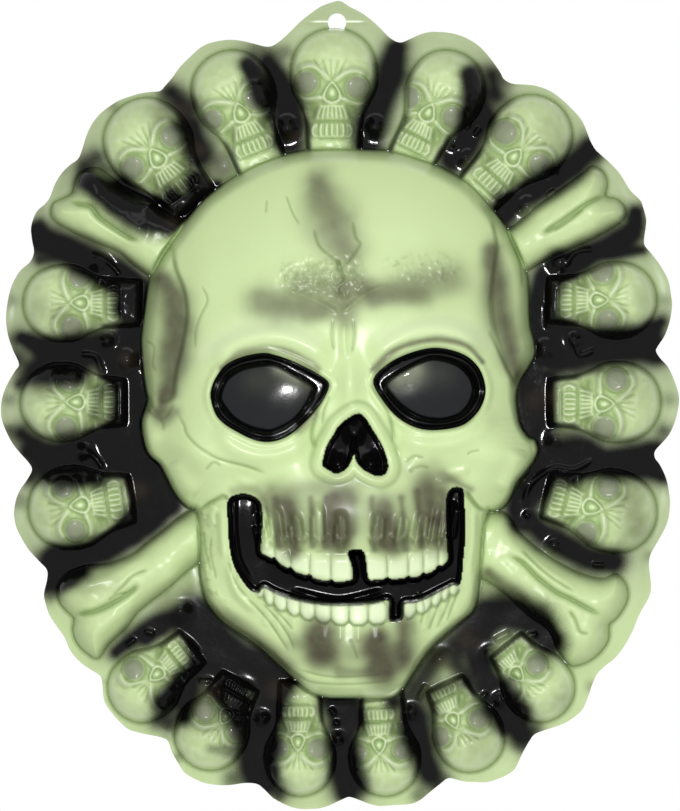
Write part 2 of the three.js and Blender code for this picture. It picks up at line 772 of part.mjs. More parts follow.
function halfWidthsOf(name) {
  return name.startsWith('upper') ? upperBoneHalfWidths : lowerBoneHalfWidths;
}

const boneOutlines = boneNames.map((name) => boneOutline(boneShares[name], halfWidthsOf(name)));

addPiece(
  'backing_sheet',
  geometryOf(backingSheet([skullOutline, ...boneOutlines, ...smallOutlines])),
  gapBlack,
);
addPiece('cranium', geometryOf(cranium()), paleGreen);
addPiece('lower_jaw', geometryOf(lowerJaw()), paleGreen);
addPiece('left_eye_dome', eyeDome(leftEyeOutline, leftEyeMiddle), domeGrey);
addPiece('right_eye_dome', eyeDome(rightEyeOutline, rightEyeMiddle), domeGrey);
addPiece('nose_recess', noseRecess(), gapBlack);
addPiece('mouth_recess', mouthRecess(), gapBlack);
addPiece('upper_teeth', teeth(upperTeethColumns, upperGapShare), toothGreen);
addPiece('lower_teeth', teeth(lowerTeethColumns, lowerGapShare), toothGreen);

// A form gives way to those that come before it: the large skull, then the
// bones, then the small skulls in their order.
const skullClearance = grownOutline(skullOutline, seamGap);
const boneClearances = boneOutlines.map((outline) => grownOutline(outline, seamGap));
const smallClearances = smallOutlines.map((outline) => grownOutline(outline, seamGap));

boneNames.forEach((name, i) => {
  const solid = solidOf(bone(boneShares[name], halfWidthsOf(name)));
  const neighbours = [skullClearance, ...boneClearances.slice(0, i)];
  addPiece(name, geometryOf(cut(solid, neighbours)), paleGreen);
});

smallFrames.forEach((frame, i) => {
  const neighbours = [skullClearance, ...boneClearances, ...smallClearances.slice(0, i)];
  const solid = cut(solidOf(smallSkull(frame)), neighbours);
  const number = String(i + 1).padStart(2, '0');
  addPiece(`small_skull_${number}`, geometryOf(solid), paleGreen);
});

export default decoration;
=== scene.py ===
# %% [markdown]
# # Halloween skull wall plaque
# One thin sheet of plastic, drawn over a mould and sprayed by hand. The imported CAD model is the
# frame: every piece below is worked out on it, in metres, with the hanging hole as the origin.

import math

import bpy
import numpy as np
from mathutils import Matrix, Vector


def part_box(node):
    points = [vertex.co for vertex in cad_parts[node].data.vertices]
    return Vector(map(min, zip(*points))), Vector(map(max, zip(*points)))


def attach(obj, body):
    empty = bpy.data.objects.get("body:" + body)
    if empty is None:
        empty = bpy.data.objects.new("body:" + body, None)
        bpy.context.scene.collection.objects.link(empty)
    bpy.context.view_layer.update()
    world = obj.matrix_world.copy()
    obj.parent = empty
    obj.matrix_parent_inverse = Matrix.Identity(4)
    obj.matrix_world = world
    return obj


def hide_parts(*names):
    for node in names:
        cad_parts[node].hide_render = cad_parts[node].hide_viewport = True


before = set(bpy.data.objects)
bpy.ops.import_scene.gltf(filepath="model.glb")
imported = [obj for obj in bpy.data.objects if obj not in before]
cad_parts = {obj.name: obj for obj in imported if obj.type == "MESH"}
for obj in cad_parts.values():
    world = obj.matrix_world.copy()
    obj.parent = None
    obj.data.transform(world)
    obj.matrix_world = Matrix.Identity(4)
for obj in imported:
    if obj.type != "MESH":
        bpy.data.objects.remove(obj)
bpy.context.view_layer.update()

# %% [markdown]
# ## Photo pixels and millimetres
# Places across the front are read off the photograph, so they are written in its pixels, with y
# running down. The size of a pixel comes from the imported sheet, which hangs from the hole. Heights
# off the wall are in millimetres.

# %% One pixel in metres
HOLE_X, HOLE_Y = 337.0, 22.6
PLAQUE_FOOT_Y = 809.0
PICTURE_WIDTH, PICTURE_HEIGHT = 680, 811
sheet_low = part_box("backing_sheet")[0]
PIXEL = -sheet_low.z / (PLAQUE_FOOT_Y - HOLE_Y)
MM = PIXEL * 1000
print("a pixel is", round(MM, 4), "mm")

# %% [markdown]
# ## One grid for the whole relief
# A sheet pulled over a mould has one height at each place across its front. Joined solids could give
# the same forms, but on one grid neighbours always meet. A coarser quick step is given but not used.

# %% The grid
FINE_STEP, QUICK_STEP = 1.16, 2.4
STEP = FINE_STEP
SHEET = 1.0
MARGIN = 3.0
ACROSS = np.arange(-MARGIN, PICTURE_WIDTH + MARGIN + 1, STEP)
DOWN = np.arange(-MARGIN, PICTURE_HEIGHT + MARGIN + 1, STEP)
X, Y = np.meshgrid(ACROSS, DOWN)
height = np.full(X.shape, SHEET)
print("grid", X.shape)

# %% [markdown]
# ## Soft steps and random waves
# Drawn plastic has no hard steps, so forms rise along smooth curves. Fine unevenness is blurred
# random numbers from a fixed seed, the same on every run.

# %% Curves and waves
def window(low_x, low_y, high_x, high_y):
    """The block of grid nodes between two corners."""
    columns = slice(*np.searchsorted(ACROSS, (low_x, high_x)))
    rows = slice(*np.searchsorted(DOWN, (low_y, high_y)))
    return rows, columns


def ease(share):
    """A smooth step from 0 to 1."""
    share = np.clip(share, 0, 1)
    return share * share * (3 - 2 * share)


def quarter(share):
    """The rise of a quarter circle, steep at first and level at the end."""
    return np.sqrt(1 - (1 - np.clip(share, 0, 1)) ** 2)


def band(distance, middle, width):
    """A soft band that is 1 at the middle and fades to both sides."""
    return np.exp(-(((distance - middle) / width) ** 2))


def blur(field, sigma):
    """A soft average over the nodes within a few sigma, in pixels."""
    spread = sigma / STEP
    reach = max(1, math.ceil(spread * 3))
    steps = np.arange(-reach, reach + 1)
    weights = np.exp(-0.5 * (steps / spread) ** 2)
    weights /= weights.sum()
    padded = np.pad(field, reach, mode="edge")
    rows = sum(w * padded[i : i + field.shape[0], :] for i, w in enumerate(weights))
    return sum(w * rows[:, i : i + field.shape[1]] for i, w in enumerate(weights))


def cloud(seed, sigma):
    """Smooth random waves, about one unit deep, the same on every run."""
    rough = blur(np.random.default_rng(seed).standard_normal(X.shape), sigma)
    return rough / rough.std()


print("half way: soft step", ease(0.5), "and quarter circle", round(float(quarter(0.5)), 2))

# %% [markdown]
# ## Curves through points
# The real outlines have no corners. A few points read off the photo are joined by a smooth curve
# through all of them, which needs fewer points than a traced polygon.

# %% Smooth curves
CURVE_STEPS = 4


def curve_through(a, b, c, d):
    """Points on the smooth curve from each b to its c, with a before and d after them."""
    curve = []
    for t in np.arange(CURVE_STEPS) / CURVE_STEPS:
        curve.append(
            0.5 * (2 * b + (c - a) * t + (2 * a - 5 * b + 4 * c - d) * t**2)
            + 0.5 * (3 * b - a - 3 * c + d) * t**3
        )
    return np.stack(curve, 1).reshape(-1, a.shape[1])


def smooth_closed(points):
    """Points along a closed curve through the given ones."""
    p = np.array(points, float)
    return curve_through(np.roll(p, 1, 0), p, np.roll(p, -1, 0), np.roll(p, -2, 0))


def smooth_open(points):
    """Points along an open curve through the given ones."""
    p = np.array(points, float)
    if len(p) < 3:
        return p
    ends = np.vstack([2 * p[0] - p[1], p, 2 * p[-1] - p[-2]])
    return np.vstack([curve_through(ends[:-3], ends[1:-2], ends[2:-1], ends[3:]), p[-1:]])


print("a curve has", CURVE_STEPS, "points for each one given")

# %% [markdown]
# ## How far inside an outline
# Walls and paint follow the edge of some form. So an outline becomes, at each node, the distance to
# that edge: positive inside and negative outside.

# %% Insets
INSET_REACH = 44.0


def inset(points, sharp=False):
    """How far inside an outline each node lies, in pixels; outside is negative."""
    curve = np.array(points, float) if sharp else smooth_closed(points)
    away = np.full(X.shape, INSET_REACH)
    crossed = np.zeros((X.shape[0], X.shape[1] + 1))
    for start, end in zip(curve, np.roll(curve, -1, 0)):
        run = end - start
        length = run @ run
        if length == 0:
            continue
        low = np.minimum(start, end) - INSET_REACH
        high = np.maximum(start, end) + INSET_REACH
        block = window(low[0], low[1], high[0], high[1])
        x, y = X[block] - start[0], Y[block] - start[1]
        along = np.clip((x * run[0] + y * run[1]) / length, 0, 1)
        near = np.hypot(x - along * run[0], y - along * run[1])
        away[block] = np.minimum(away[block], near)
        rows = np.nonzero((DOWN > min(start[1], end[1])) & (DOWN <= max(start[1], end[1])))[0]
        if len(rows):
            meets = start[0] + (DOWN[rows] - start[1]) * run[0] / run[1]
            np.add.at(crossed, (rows, np.searchsorted(ACROSS, meets)), 1)
    inside = np.cumsum(crossed, 1)[:, :-1] % 2 == 1
    return np.where(inside, away, -away)


print("insets reach", INSET_REACH, "pixels")

# %% [markdown]
# ## Ridges and swellings
# Brows, cracks and folds are lines and lumps in the mould. A line fades towards its ends; a lump is
# a soft oval.

# %% Ridges and swellings
LINE_REACH = 3
LINE_FADE = 0.18


def near_line(points, reach):
    """The nodes near a line, how far each is from it and the share of the line it lies at."""
    p = smooth_open([point[:2] for point in points])
    block = window(*(p.min(0) - reach), *(p.max(0) + reach))
    x, y = X[block], Y[block]
    away, share = np.full(x.shape, 1e9), np.zeros(x.shape)
    runs = np.diff(p, axis=0)
    lengths = np.hypot(*runs.T)
    gone = np.concatenate([[0], np.cumsum(lengths)])
    for i, (start, run) in enumerate(zip(p[:-1], runs)):
        along = ((x - start[0]) * run[0] + (y - start[1]) * run[1]) / max(run @ run, 1e-9)
        along = np.clip(along, 0, 1)
        near = np.hypot(x - start[0] - along * run[0], y - start[1] - along * run[1])
        closer = near < away
        away = np.where(closer, near, away)
        share = np.where(closer, (gone[i] + along * lengths[i]) / gone[-1], share)
    return block, away, share


def ridge(points, width, rise, within=None):
    """Raises a rounded line by rise millimetres, or sinks it; it fades towards its ends."""
    block, away, share = near_line(points, width * LINE_REACH)
    fade = ease(share / LINE_FADE) * ease((1 - share) / LINE_FADE)
    form = rise * band(away, 0, width) * fade
    if within is not None:
        form = form * within[block]
    height[block] += form


def swell(x, y, reach_x, reach_y, rise, within=None, degrees=0):
    """Raises a soft round or oval swelling, or sinks a hollow."""
    reach = LINE_REACH * max(reach_x, reach_y)
    block = window(x - reach, y - reach, x + reach, y + reach)
    turn = math.radians(degrees)
    across, down = X[block] - x, Y[block] - y
    a = across * math.cos(turn) + down * math.sin(turn)
    b = -across * math.sin(turn) + down * math.cos(turn)
    form = rise * band(a, 0, reach_x) * band(b, 0, reach_y)
    if within is not None:
        form = form * within[block]
    height[block] += form


print("a ridge reaches", LINE_REACH, "times its width")

# %% [markdown]
# ## The rim of the plaque
# The flange has a scallop for each small skull or bone end, and a pointed tab at the top. No two
# scallops of the real one are alike, so each is drawn by its own points.

# %% The rim
PLAQUE = [
    (340, 1), (350, 7), (360, 12), (370, 19), (380, 28), (390, 38), (400, 42.5), (410, 39), (420, 34.5),
    (430, 32), (440, 32), (450, 33), (460, 35.5), (470, 40), (480, 47), (490, 58), (500, 72), (503, 78),
    (508, 82), (515, 84), (530, 85), (540, 87), (550, 91), (560, 98), (570, 107), (580, 118), (585, 127),
    (590, 140), (595, 149), (600, 154), (610, 163), (620, 174), (630, 190), (640, 200), (643, 207),
    (646, 218), (646, 225), (644, 240), (645, 246), (650, 252), (660, 265), (668, 280), (671, 295),
    (672, 305), (670, 320), (665, 335), (658, 346), (656, 351), (660, 358), (668, 367), (674, 380),
    (678, 392), (679, 402), (676, 418), (670, 433), (662, 443), (655, 451), (655, 458), (660, 465),
    (666, 478), (669, 492), (670, 505), (668, 520), (663, 532), (655, 546), (650, 556), (649, 566),
    (651, 585), (649, 597), (640, 613), (633, 630), (625, 645), (615, 658), (605, 666), (597, 674),
    (592, 685), (588, 697), (582, 710), (570, 720), (560, 725), (545, 730), (535, 734), (530, 740),
    (522, 754), (516, 767), (510, 773), (500, 778), (488, 782), (475, 782), (462, 781), (449, 778),
    (440, 784), (430, 792), (420, 800), (410, 804), (395, 805), (380, 806), (370, 804), (362, 801),
    (350, 797), (343, 799), (325, 807), (310, 809), (295, 808), (282, 803), (272, 797), (265, 790),
    (257, 784), (245, 783), (230, 785), (218, 785), (205, 783), (195, 779), (185, 773), (180, 766),
    (172, 752), (168, 741), (160, 737), (145, 734), (130, 730), (122, 724), (112, 713), (104, 700),
    (102, 680), (98, 674), (88, 668), (78, 660), (70, 650), (65, 638), (58, 628), (50, 616), (46, 605),
    (44, 594), (47, 580), (47, 570), (40, 562), (29, 550), (21, 537), (16, 526), (14, 513), (16, 500),
    (20, 490), (27, 480), (32, 470), (29, 463), (21, 454), (13, 444), (7, 433), (2, 420), (1, 407),
    (3, 395), (8, 383), (15, 371), (19, 364), (13, 350), (8, 335), (6, 318), (8, 300), (12, 285), (20, 271),
    (30, 262), (34, 252), (32, 240), (31, 228), (34, 217), (38, 210), (45, 204), (50, 197), (55, 184),
    (62, 173), (70, 165), (78, 159), (82, 150), (86, 137), (92, 124), (100, 114), (110, 106), (120, 100),
    (130, 96.5), (140, 93.5), (150, 92), (160, 91), (165, 86), (172, 78), (180, 67), (190, 57), (200, 48),
    (210, 43), (225, 40), (235, 40), (245, 41.5), (255, 44), (265, 46.5), (272, 46), (280, 41), (290, 32),
    (300, 22), (310, 14), (320, 7), (330, 3),
]
plaque_inset = inset(PLAQUE)
print("plaque nodes", int((plaque_inset > 0).sum()))

# %% [markdown]
# ## The big skull, in outline
# One closed outline takes in the crown, the cheekbones and the jaw. The jaw is told apart later,
# because on the real sheet they are one raised form.

# %% The big skull's outline
SKULL = [
    (340, 149), (310, 150), (280, 156), (250, 168), (215, 190), (200, 203), (190, 215), (180, 227),
    (170, 240), (160, 254), (152, 270), (148, 285), (145, 305), (142, 330), (141, 345), (143, 370),
    (146, 390), (148, 400), (145, 410), (141.5, 421), (142.5, 436), (145.5, 448.5), (150.5, 457),
    (160, 465), (167, 478), (173, 490), (180, 500), (188, 507), (197, 511), (197.5, 530), (199, 550),
    (201, 575), (203.5, 590), (208, 604), (221, 619.5), (234, 629), (247, 637), (259, 646), (270, 656),
    (282, 667), (294, 678), (305, 687.5), (315, 693.5), (330, 698), (360, 698), (386, 698), (396, 695),
    (404, 687), (410, 677), (420, 662), (430, 648), (445, 634), (460, 622), (472, 612), (477, 600),
    (479, 580), (482, 560), (485, 530), (488, 512), (492, 511), (500, 509), (507, 503), (512, 493.5),
    (517, 482), (527, 470), (534.5, 459.5), (538, 450), (535, 440), (528, 437), (520, 425), (517, 410),
    (516, 395), (520, 380), (530, 365), (535, 353), (534, 340), (530, 325), (529, 300), (528, 280),
    (524, 262), (518, 248), (510, 232), (500, 218), (485, 200), (470, 184), (455, 175), (440, 167),
    (420, 159), (400, 153), (375, 150),
]
SKULL_MIDDLE = (337.9, 425.3)
skull_inset = inset(SKULL)
on_skull = ease(skull_inset / 3)
beside_skull = ease(-skull_inset / 3)
print("skull nodes", int((skull_inset > 0).sum()))

# %% [markdown]
# ## The seventeen small skulls
# Each has its own place and its jaw points at the middle. A row gives the cranium's middle and
# radius, the way the jaw points, both eyes, the nose and the end of the jaw. One half of the outline
# is given in radii, and the other mirrors it.

# %% Places of the small skulls
SMALL_SKULLS = {
    "small_skull_01": ((334, 70, 42), (0, 1), (307, 83, 13), (357, 88, 13), (332, 93), 2.3),
    "small_skull_17": ((232, 90, 40), (0.37, 0.93), (213, 120, 12), (257, 99, 14), (241, 113), 2.3),
    "small_skull_16": ((146, 140, 42), (0.6, 0.8), (133, 168, 13), (172, 136, 13), (157, 158), 1.95),
    "small_skull_02": ((447, 88, 38), (-0.45, 0.89), (409, 98, 13), (453, 118, 13), (428, 113), 2.5),
    "small_skull_03": ((532, 135, 40), (-0.68, 0.73), (505, 133, 14), (540, 165, 13), (514, 157), 2.1),
    "small_skull_15": ((60, 303, 37), (1, 0), (80, 277, 13), (72, 328, 13), (80, 303), 2.2),
    "small_skull_14": ((58, 402, 38), (1, 0), (70, 380, 13), (66, 428, 13), (76, 402), 1.8),
    "small_skull_13": ((68, 508, 40), (0.99, -0.15), (64, 488, 12), (76, 530, 12), (80, 505), 1.65),
    "small_skull_04": ((620, 300, 37), (-1, 0), (602, 271, 14), (607, 321, 13), (599, 300), 1.98),
    "small_skull_05": ((622, 402, 39), (-1, 0), (616, 380, 13), (604, 428, 13), (604, 404), 1.9),
    "small_skull_06": ((617, 512, 40), (-0.97, -0.24), (608, 487, 13), (586, 533, 13), (592, 507), 1.85),
    "small_skull_12": ((142, 688, 34), (0.77, -0.63), (134, 669, 12), (169, 696, 12), (157, 674), 1.95),
    "small_skull_11": ((210, 735, 35), (0.49, -0.87), (204, 710, 12), (238, 731, 12), (226, 716), 1.8),
    "small_skull_10": ((300, 762, 34), (0, -1), (278, 747, 12), (318, 748, 12), (298, 742), 2.4),
    "small_skull_09": ((385, 762, 34), (-0.05, -1), (358, 752, 11), (402, 750, 11), (379, 745), 2.3),
    "small_skull_08": ((470, 738, 34), (-0.42, -0.91), (440, 736, 12), (479, 718, 12), (453, 720), 1.8),
    "small_skull_07": ((540, 688, 34), (-0.62, -0.78), (536, 664, 12), (508, 687, 12), (517, 674), 1.65),
}
SMALL_HALF = [
    (-0.92, 0.4), (-0.7, 0.74), (-0.36, 0.96), (0.05, 1.04), (0.45, 1.0), (0.75, 0.86), (1.0, 0.74),
    (1.3, 0.68),
]
CHIN_BEVEL, CHIN_SIDE_SHARE, CHIN_END_SHARE = 0.12, 0.63, 0.5
small_places = {}
for name, ((x, y, radius), way, eye_1, eye_2, nose, jaw_length) in SMALL_SKULLS.items():
    middle = np.array([x, y], float)
    along = np.array(way, float) / np.hypot(*way)
    across = np.array([-along[1], along[0]])
    chin = [(jaw_length - CHIN_BEVEL, CHIN_SIDE_SHARE), (jaw_length, CHIN_END_SHARE)]
    half = [*SMALL_HALF, *chin]
    one = [middle + radius * (a * along + b * across) for a, b in half]
    other = [middle + radius * (a * along - b * across) for a, b in half]
    outline = [middle - radius * along, *one, *other[::-1]]
    small_places[name] = (middle, radius, along, across, inset(outline))
small_insets = [place[4] for place in small_places.values()]
print("small skulls", len(small_places))

# %% [markdown]
# ## The bones
# Two long bones cross behind the big skull, so four knobbed ends show beside it. Each end runs on
# under the skull, where the skull's own form takes over.

# %% Places of the bones
BONES = {
    "upper_left_bone": [
        (56, 222), (51, 213), (54, 203), (64, 198), (72, 193), (75, 183), (80, 173), (90, 168), (101, 169),
        (111, 177), (122, 186), (140, 195), (160, 206), (190, 222), (215, 240), (200, 300), (170, 290),
        (151, 277), (133, 264), (117, 251), (95, 242), (73, 232),
    ],
    "upper_right_bone": [
        (583, 173), (592, 166), (603, 172), (607, 183), (606, 196), (618, 200), (626, 210), (622, 221),
        (600, 235), (575, 247), (550, 258), (530, 269), (505, 285), (470, 260), (490, 235), (514, 226),
        (535, 208), (560, 190),
    ],
    "lower_left_bone": [
        (182, 516), (165, 529), (149, 541), (133, 554), (110, 563), (85, 566), (66, 574), (57, 586),
        (59, 600), (66, 610), (74, 618), (73, 630), (77, 642), (86, 652), (98, 658), (109, 644), (126, 628),
        (140, 610), (168, 588), (192, 567), (225, 545), (215, 500),
    ],
    "lower_right_bone": [
        (503, 512), (518, 531), (538, 549), (561, 564), (582, 574), (603, 579), (616, 574), (626, 585),
        (627, 600), (618, 616), (609, 625), (608, 640), (598, 654), (584, 663), (569, 665), (558, 650),
        (549, 630), (530, 616), (512, 600), (493, 584), (470, 568), (465, 515),
    ],
}
bone_places = {name: inset(points) for name, points in BONES.items()}
print("bones", len(bone_places))

# %% [markdown]
# ## Raising the small skulls and bones
# Each small skull is a blunt dome that narrows into a jaw. Its wall is steeper at the face and
# rounder at the crown. All fade where the big skull covers them, so no trench is left there.

# %% Small skulls and bones
BONE_RISE, BONE_FLANK = 24.0, 24
SMALL_WALL, SMALL_CROWN = 15.0, 8.0
FACE_STEEP, CROWN_LESS_STEEP = 0.5, 0.34
STEEP_WALL_SHARE, ROUND_WALL_SHARE = 0.16, 0.75
JAW_LOWER_SHARE = 0.22
COVERED_BAND = 6
clear_of_skull = ease((COVERED_BAND - skull_inset) / COVERED_BAND)
for name, (middle, radius, along, across, edge) in small_places.items():
    a = ((X - middle[0]) * along[0] + (Y - middle[1]) * along[1]) / radius
    b = ((X - middle[0]) * across[0] + (Y - middle[1]) * across[1]) / radius
    away = np.clip(a**2 + b**2, 0, 1)
    jaw = ease((a - 0.75) / 0.6)
    steep = FACE_STEEP - CROWN_LESS_STEEP * ease(-a / 0.7)
    steep_wall = quarter(edge / (STEEP_WALL_SHARE * radius))
    round_wall = quarter(edge / (ROUND_WALL_SHARE * radius))
    wall = steep * steep_wall + (1 - steep) * round_wall
    form = SMALL_WALL * wall * (1 - JAW_LOWER_SHARE * jaw)
    form += SMALL_CROWN * (1 - away) ** 1.2
    height = np.maximum(height, np.where(edge > 0, form * clear_of_skull, 0))
for edge in bone_places.values():
    form = BONE_RISE * quarter(edge / BONE_FLANK)
    height = np.maximum(height, np.where(edge > 0, form * clear_of_skull, 0))
print("highest small form", round(float(height.max()), 1), "mm")

# %% [markdown]
# ## The crown of the big skull
# The big skull is a broad crown on a steep wall. The crown falls off from the middle to the edge,
# along rays as long as the outline's radius, averaged over a few degrees, or each wobble of the edge
# would run as a fold to the middle. Its swellings are shares of the skull's width and height: middle
# x, y, reach x, y and rise.

# %% The crown
SKULL_WALL = 26.0
SKULL_SPAN_X, SKULL_SPAN_Y = 399.9, 550.1
SWELLING_SHARES = {
    "left of the forehead": (-0.19, 0.18, 0.13, 0.05, 0.06),
    "right of the forehead": (0.16, 0.187, 0.13, 0.05, 0.06),
    "left cheekbone": (-0.3325, -0.045, 0.1, 0.06, 0.11),
    "right cheekbone": (0.405, -0.03, 0.08, 0.07, 0.11),
    "upper jaw": (0.03, -0.17, 0.17, 0.07, 0.06),
    "chin": (0.03, -0.42, 0.13, 0.06, 0.16),
    "left temple": (-0.42, 0.165, 0.04, 0.12, -0.09),
    "right temple": (0.4175, 0.17, 0.04, 0.12, -0.09),
}
SWELLING_SCALE = 1.6
CROWN_SPREAD, CROWN_ROUND = 2.5, 0.66
AVERAGED_DEGREES = (-6, -4, -2, 0, 2, 4, 6)
curve_x, curve_y = (smooth_closed(SKULL) - SKULL_MIDDLE).T
curve_angle = np.arctan2(curve_y, curve_x)
curve_radius = np.hypot(curve_y, curve_x)
order = np.argsort(curve_angle)
from_middle_x, from_middle_y = X - SKULL_MIDDLE[0], Y - SKULL_MIDDLE[1]
angle = np.arctan2(from_middle_y, from_middle_x)
turns = [math.radians(degrees) for degrees in AVERAGED_DEGREES]
reach = np.mean([
    np.interp(angle + turn, curve_angle[order], curve_radius[order], period=2 * math.pi)
    for turn in turns
], axis=0)
share = np.clip(np.hypot(from_middle_x, from_middle_y) / reach, 0, 1)
crown = (1 - share**CROWN_SPREAD) ** CROWN_ROUND
for x, y, reach_x, reach_y, rise in SWELLING_SHARES.values():
    a = from_middle_x / SKULL_SPAN_X - x
    b = -from_middle_y / SKULL_SPAN_Y - y
    crown += rise * SWELLING_SCALE * np.exp(-((a / reach_x) ** 2 + (b / reach_y) ** 2) / 2)
crown_depth = -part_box("cranium")[0].y * 1000 - SKULL_WALL
crown *= crown_depth / crown.max()
print("crown", round(float(crown_depth), 1), "mm over the wall")

# %% [markdown]
# ## The wall of the big skull
# The wall rises along a quarter circle, well rounded beside the forehead, tighter beside the jaw and
# tightest at the chin.

# %% The wall
JAW_ROUNDING, CROWN_EXTRA, CHIN_LESS = 4.4, 5.6, 1.6
CROWN_FOOT_Y, CHIN_TOP_Y = 430, 660
rounding = JAW_ROUNDING + CROWN_EXTRA * ease((CROWN_FOOT_Y - Y) / 90)
rounding -= CHIN_LESS * ease((Y - CHIN_TOP_Y) / 20)
skull_form = SKULL_WALL * quarter(skull_inset * MM / rounding) + crown
height = np.where(skull_inset > 0, np.maximum(height, skull_form), height)
print("big skull", round(float(height.max()), 1), "mm")

# %% [markdown]
# ## Outlines of the eyes
# Each eye is a smooth dome in a sunk black groove. The socket's outline is the groove's outer edge
# and the dome's outline its inner edge.

# %% Eye outlines
LEFT_SOCKET = [
    (211, 397), (213, 385), (218, 375), (225, 366), (237, 359), (250, 355), (265, 353), (275, 355),
    (290, 360), (305, 367), (318, 374), (329, 383), (326, 395), (320, 405), (312, 415), (300, 427),
    (288, 436), (275, 441), (262, 441.5), (250, 438), (238, 432), (225, 424), (216, 414),
]
LEFT_DOME = [
    (218, 397), (225, 379), (239, 369), (254, 365), (270, 363.5), (283, 368), (295, 375), (309, 383),
    (314, 390), (307, 406), (296, 420), (280, 430), (268, 433), (250, 429), (234, 420), (222, 406),
]
RIGHT_SOCKET = [
    (373, 380), (389, 363), (413, 352), (438, 348), (464, 355), (479, 369), (485, 388), (482, 404),
    (473, 417), (460, 426), (437, 430), (417, 428), (398, 418), (382, 400),
]
RIGHT_DOME = [
    (384, 385), (394, 376), (406, 369), (420, 362), (434, 358), (455, 363), (468, 374), (474, 388),
    (471, 403), (461, 415), (448, 420), (436, 421), (419, 418), (402, 408), (391, 397),
]
left_socket, right_socket = inset(LEFT_SOCKET), inset(RIGHT_SOCKET)
left_dome, right_dome = inset(LEFT_DOME), inset(RIGHT_DOME)
print("eye nodes", int((left_socket > 0).sum()), int((right_socket > 0).sum()))

# %% [markdown]
# ## Outlines of the nose and the mouth
# The nose is an upside-down heart. The mouth is one black band between the rows of teeth, with a gap
# in each row.

# %% Nose and mouth outlines
NOSE = [
    (357, 414), (362, 415), (367, 421), (371.5, 428.5), (376, 435.5), (380, 442.5), (384, 451), (387, 461),
    (387.5, 468), (384.5, 473.5), (378, 475.5), (369, 472.5), (361, 467), (356, 460), (354, 453.6),
    (351, 460), (348, 466), (343.5, 470.5), (336, 473), (328, 469), (323, 465), (324, 457), (327, 446),
    (333, 436), (339.5, 425.5), (348, 418.5),
]
MOUTH = [
    (228.5, 520), (227.5, 506), (229.5, 498.5), (237, 494.6), (248, 494), (260, 501), (262.5, 517),
    (262, 532), (261, 551), (267, 555), (274, 559), (291, 569), (308, 575.2), (318, 578.5), (329, 580.5),
    (337, 581.2), (346, 580.5), (353, 578), (352.5, 566), (349, 556), (348.5, 550.5), (355, 549.5),
    (363, 550.6), (365.5, 562), (368, 578), (376, 579), (392, 578.3), (408, 577.3), (423.5, 574.3),
    (436, 568.3), (446, 562), (447.6, 557), (447, 546), (446, 532), (446, 502), (448, 492), (454.5, 487),
    (463, 490), (464, 506), (465, 532), (463, 557), (460, 583), (453, 584), (449, 586), (440, 590.5),
    (425, 598), (414, 601.5), (404, 603), (403, 613), (401.5, 619), (396, 621), (389.5, 620), (388.5, 610),
    (388, 599.5), (375, 602), (360, 603.5), (345, 604), (330, 604), (310, 602), (290, 597.5), (275, 592),
    (264, 586.5), (259, 592), (251, 589.5), (243, 580), (234.5, 565), (230, 545),
]
nose_inset, mouth_inset = inset(NOSE), inset(MOUTH)
print("mouth nodes", int((mouth_inset > 0).sum()))

# %% [markdown]
# ## Outlines of the teeth and the jaw
# The rows of teeth are bands along the mouth. The jaw is all below a line from joint to joint
# through the mouth. Between two upper teeth the black reaches up a little, which rounds their tips.

# %% Teeth and jaw outlines
UPPER_TEETH = [
    (262, 536), (275, 541), (291, 546), (310, 549.5), (337, 551), (366, 550), (395, 551), (421, 547),
    (437, 540), (446, 532), (452, 545), (452, 565), (440, 575), (400, 585), (340, 588), (300, 580),
    (270, 565), (254, 556), (256, 540),
]
LOWER_TEETH = [
    (262, 600), (270, 606), (287, 613), (310, 620), (340, 624), (372, 624), (403, 620), (427, 611),
    (449, 599), (458, 590), (454, 578), (420, 596), (340, 600), (290, 593), (262, 582), (254, 588),
]
JAW = [
    (176, 514), (197, 511), (210, 502), (226, 497), (240, 520), (248, 560), (262, 578), (300, 589),
    (340, 595), (380, 593), (420, 588), (445, 578), (455, 560), (456, 510), (463, 490), (476, 505),
    (488, 512), (510, 516), (520, 720), (160, 720),
]
UPPER_GAPS = [262, 275, 291, 310, 331, 352, 365, 387, 408, 423, 438, 448]
TEETH_LEFT_X, TEETH_RIGHT_X = 266, 444
MISSING_TOOTH_X, MISSING_TOOTH_HALF = 358, 12
NOTCH_DEPTH, NOTCH_WIDTH, TIP_DROP = 2.4, 2.4, 0.5
upper_teeth_inset, lower_teeth_inset = inset(UPPER_TEETH), inset(LOWER_TEETH)
jaw_inset = inset(JAW, sharp=True)
upper_gap = np.min([np.abs(X - gap) for gap in UPPER_GAPS], axis=0)
scallop = NOTCH_DEPTH * band(upper_gap, 0, NOTCH_WIDTH) - TIP_DROP
under_teeth = ease((upper_teeth_inset + 4) / 6) * (X > TEETH_LEFT_X) * (X < TEETH_RIGHT_X)
under_teeth = under_teeth * (np.abs(X - MISSING_TOOTH_X) > MISSING_TOOTH_HALF)
mouth_inset += scallop * under_teeth * ease((mouth_inset + 6) / 4)
print("tooth gaps", len(UPPER_GAPS))

# %% [markdown]
# ## Sinking the eyes
# The dome rises from the groove's floor and a low lip runs round the socket. A dome's height is an
# oval of its own, so that the lamp glints where it does in the photo.

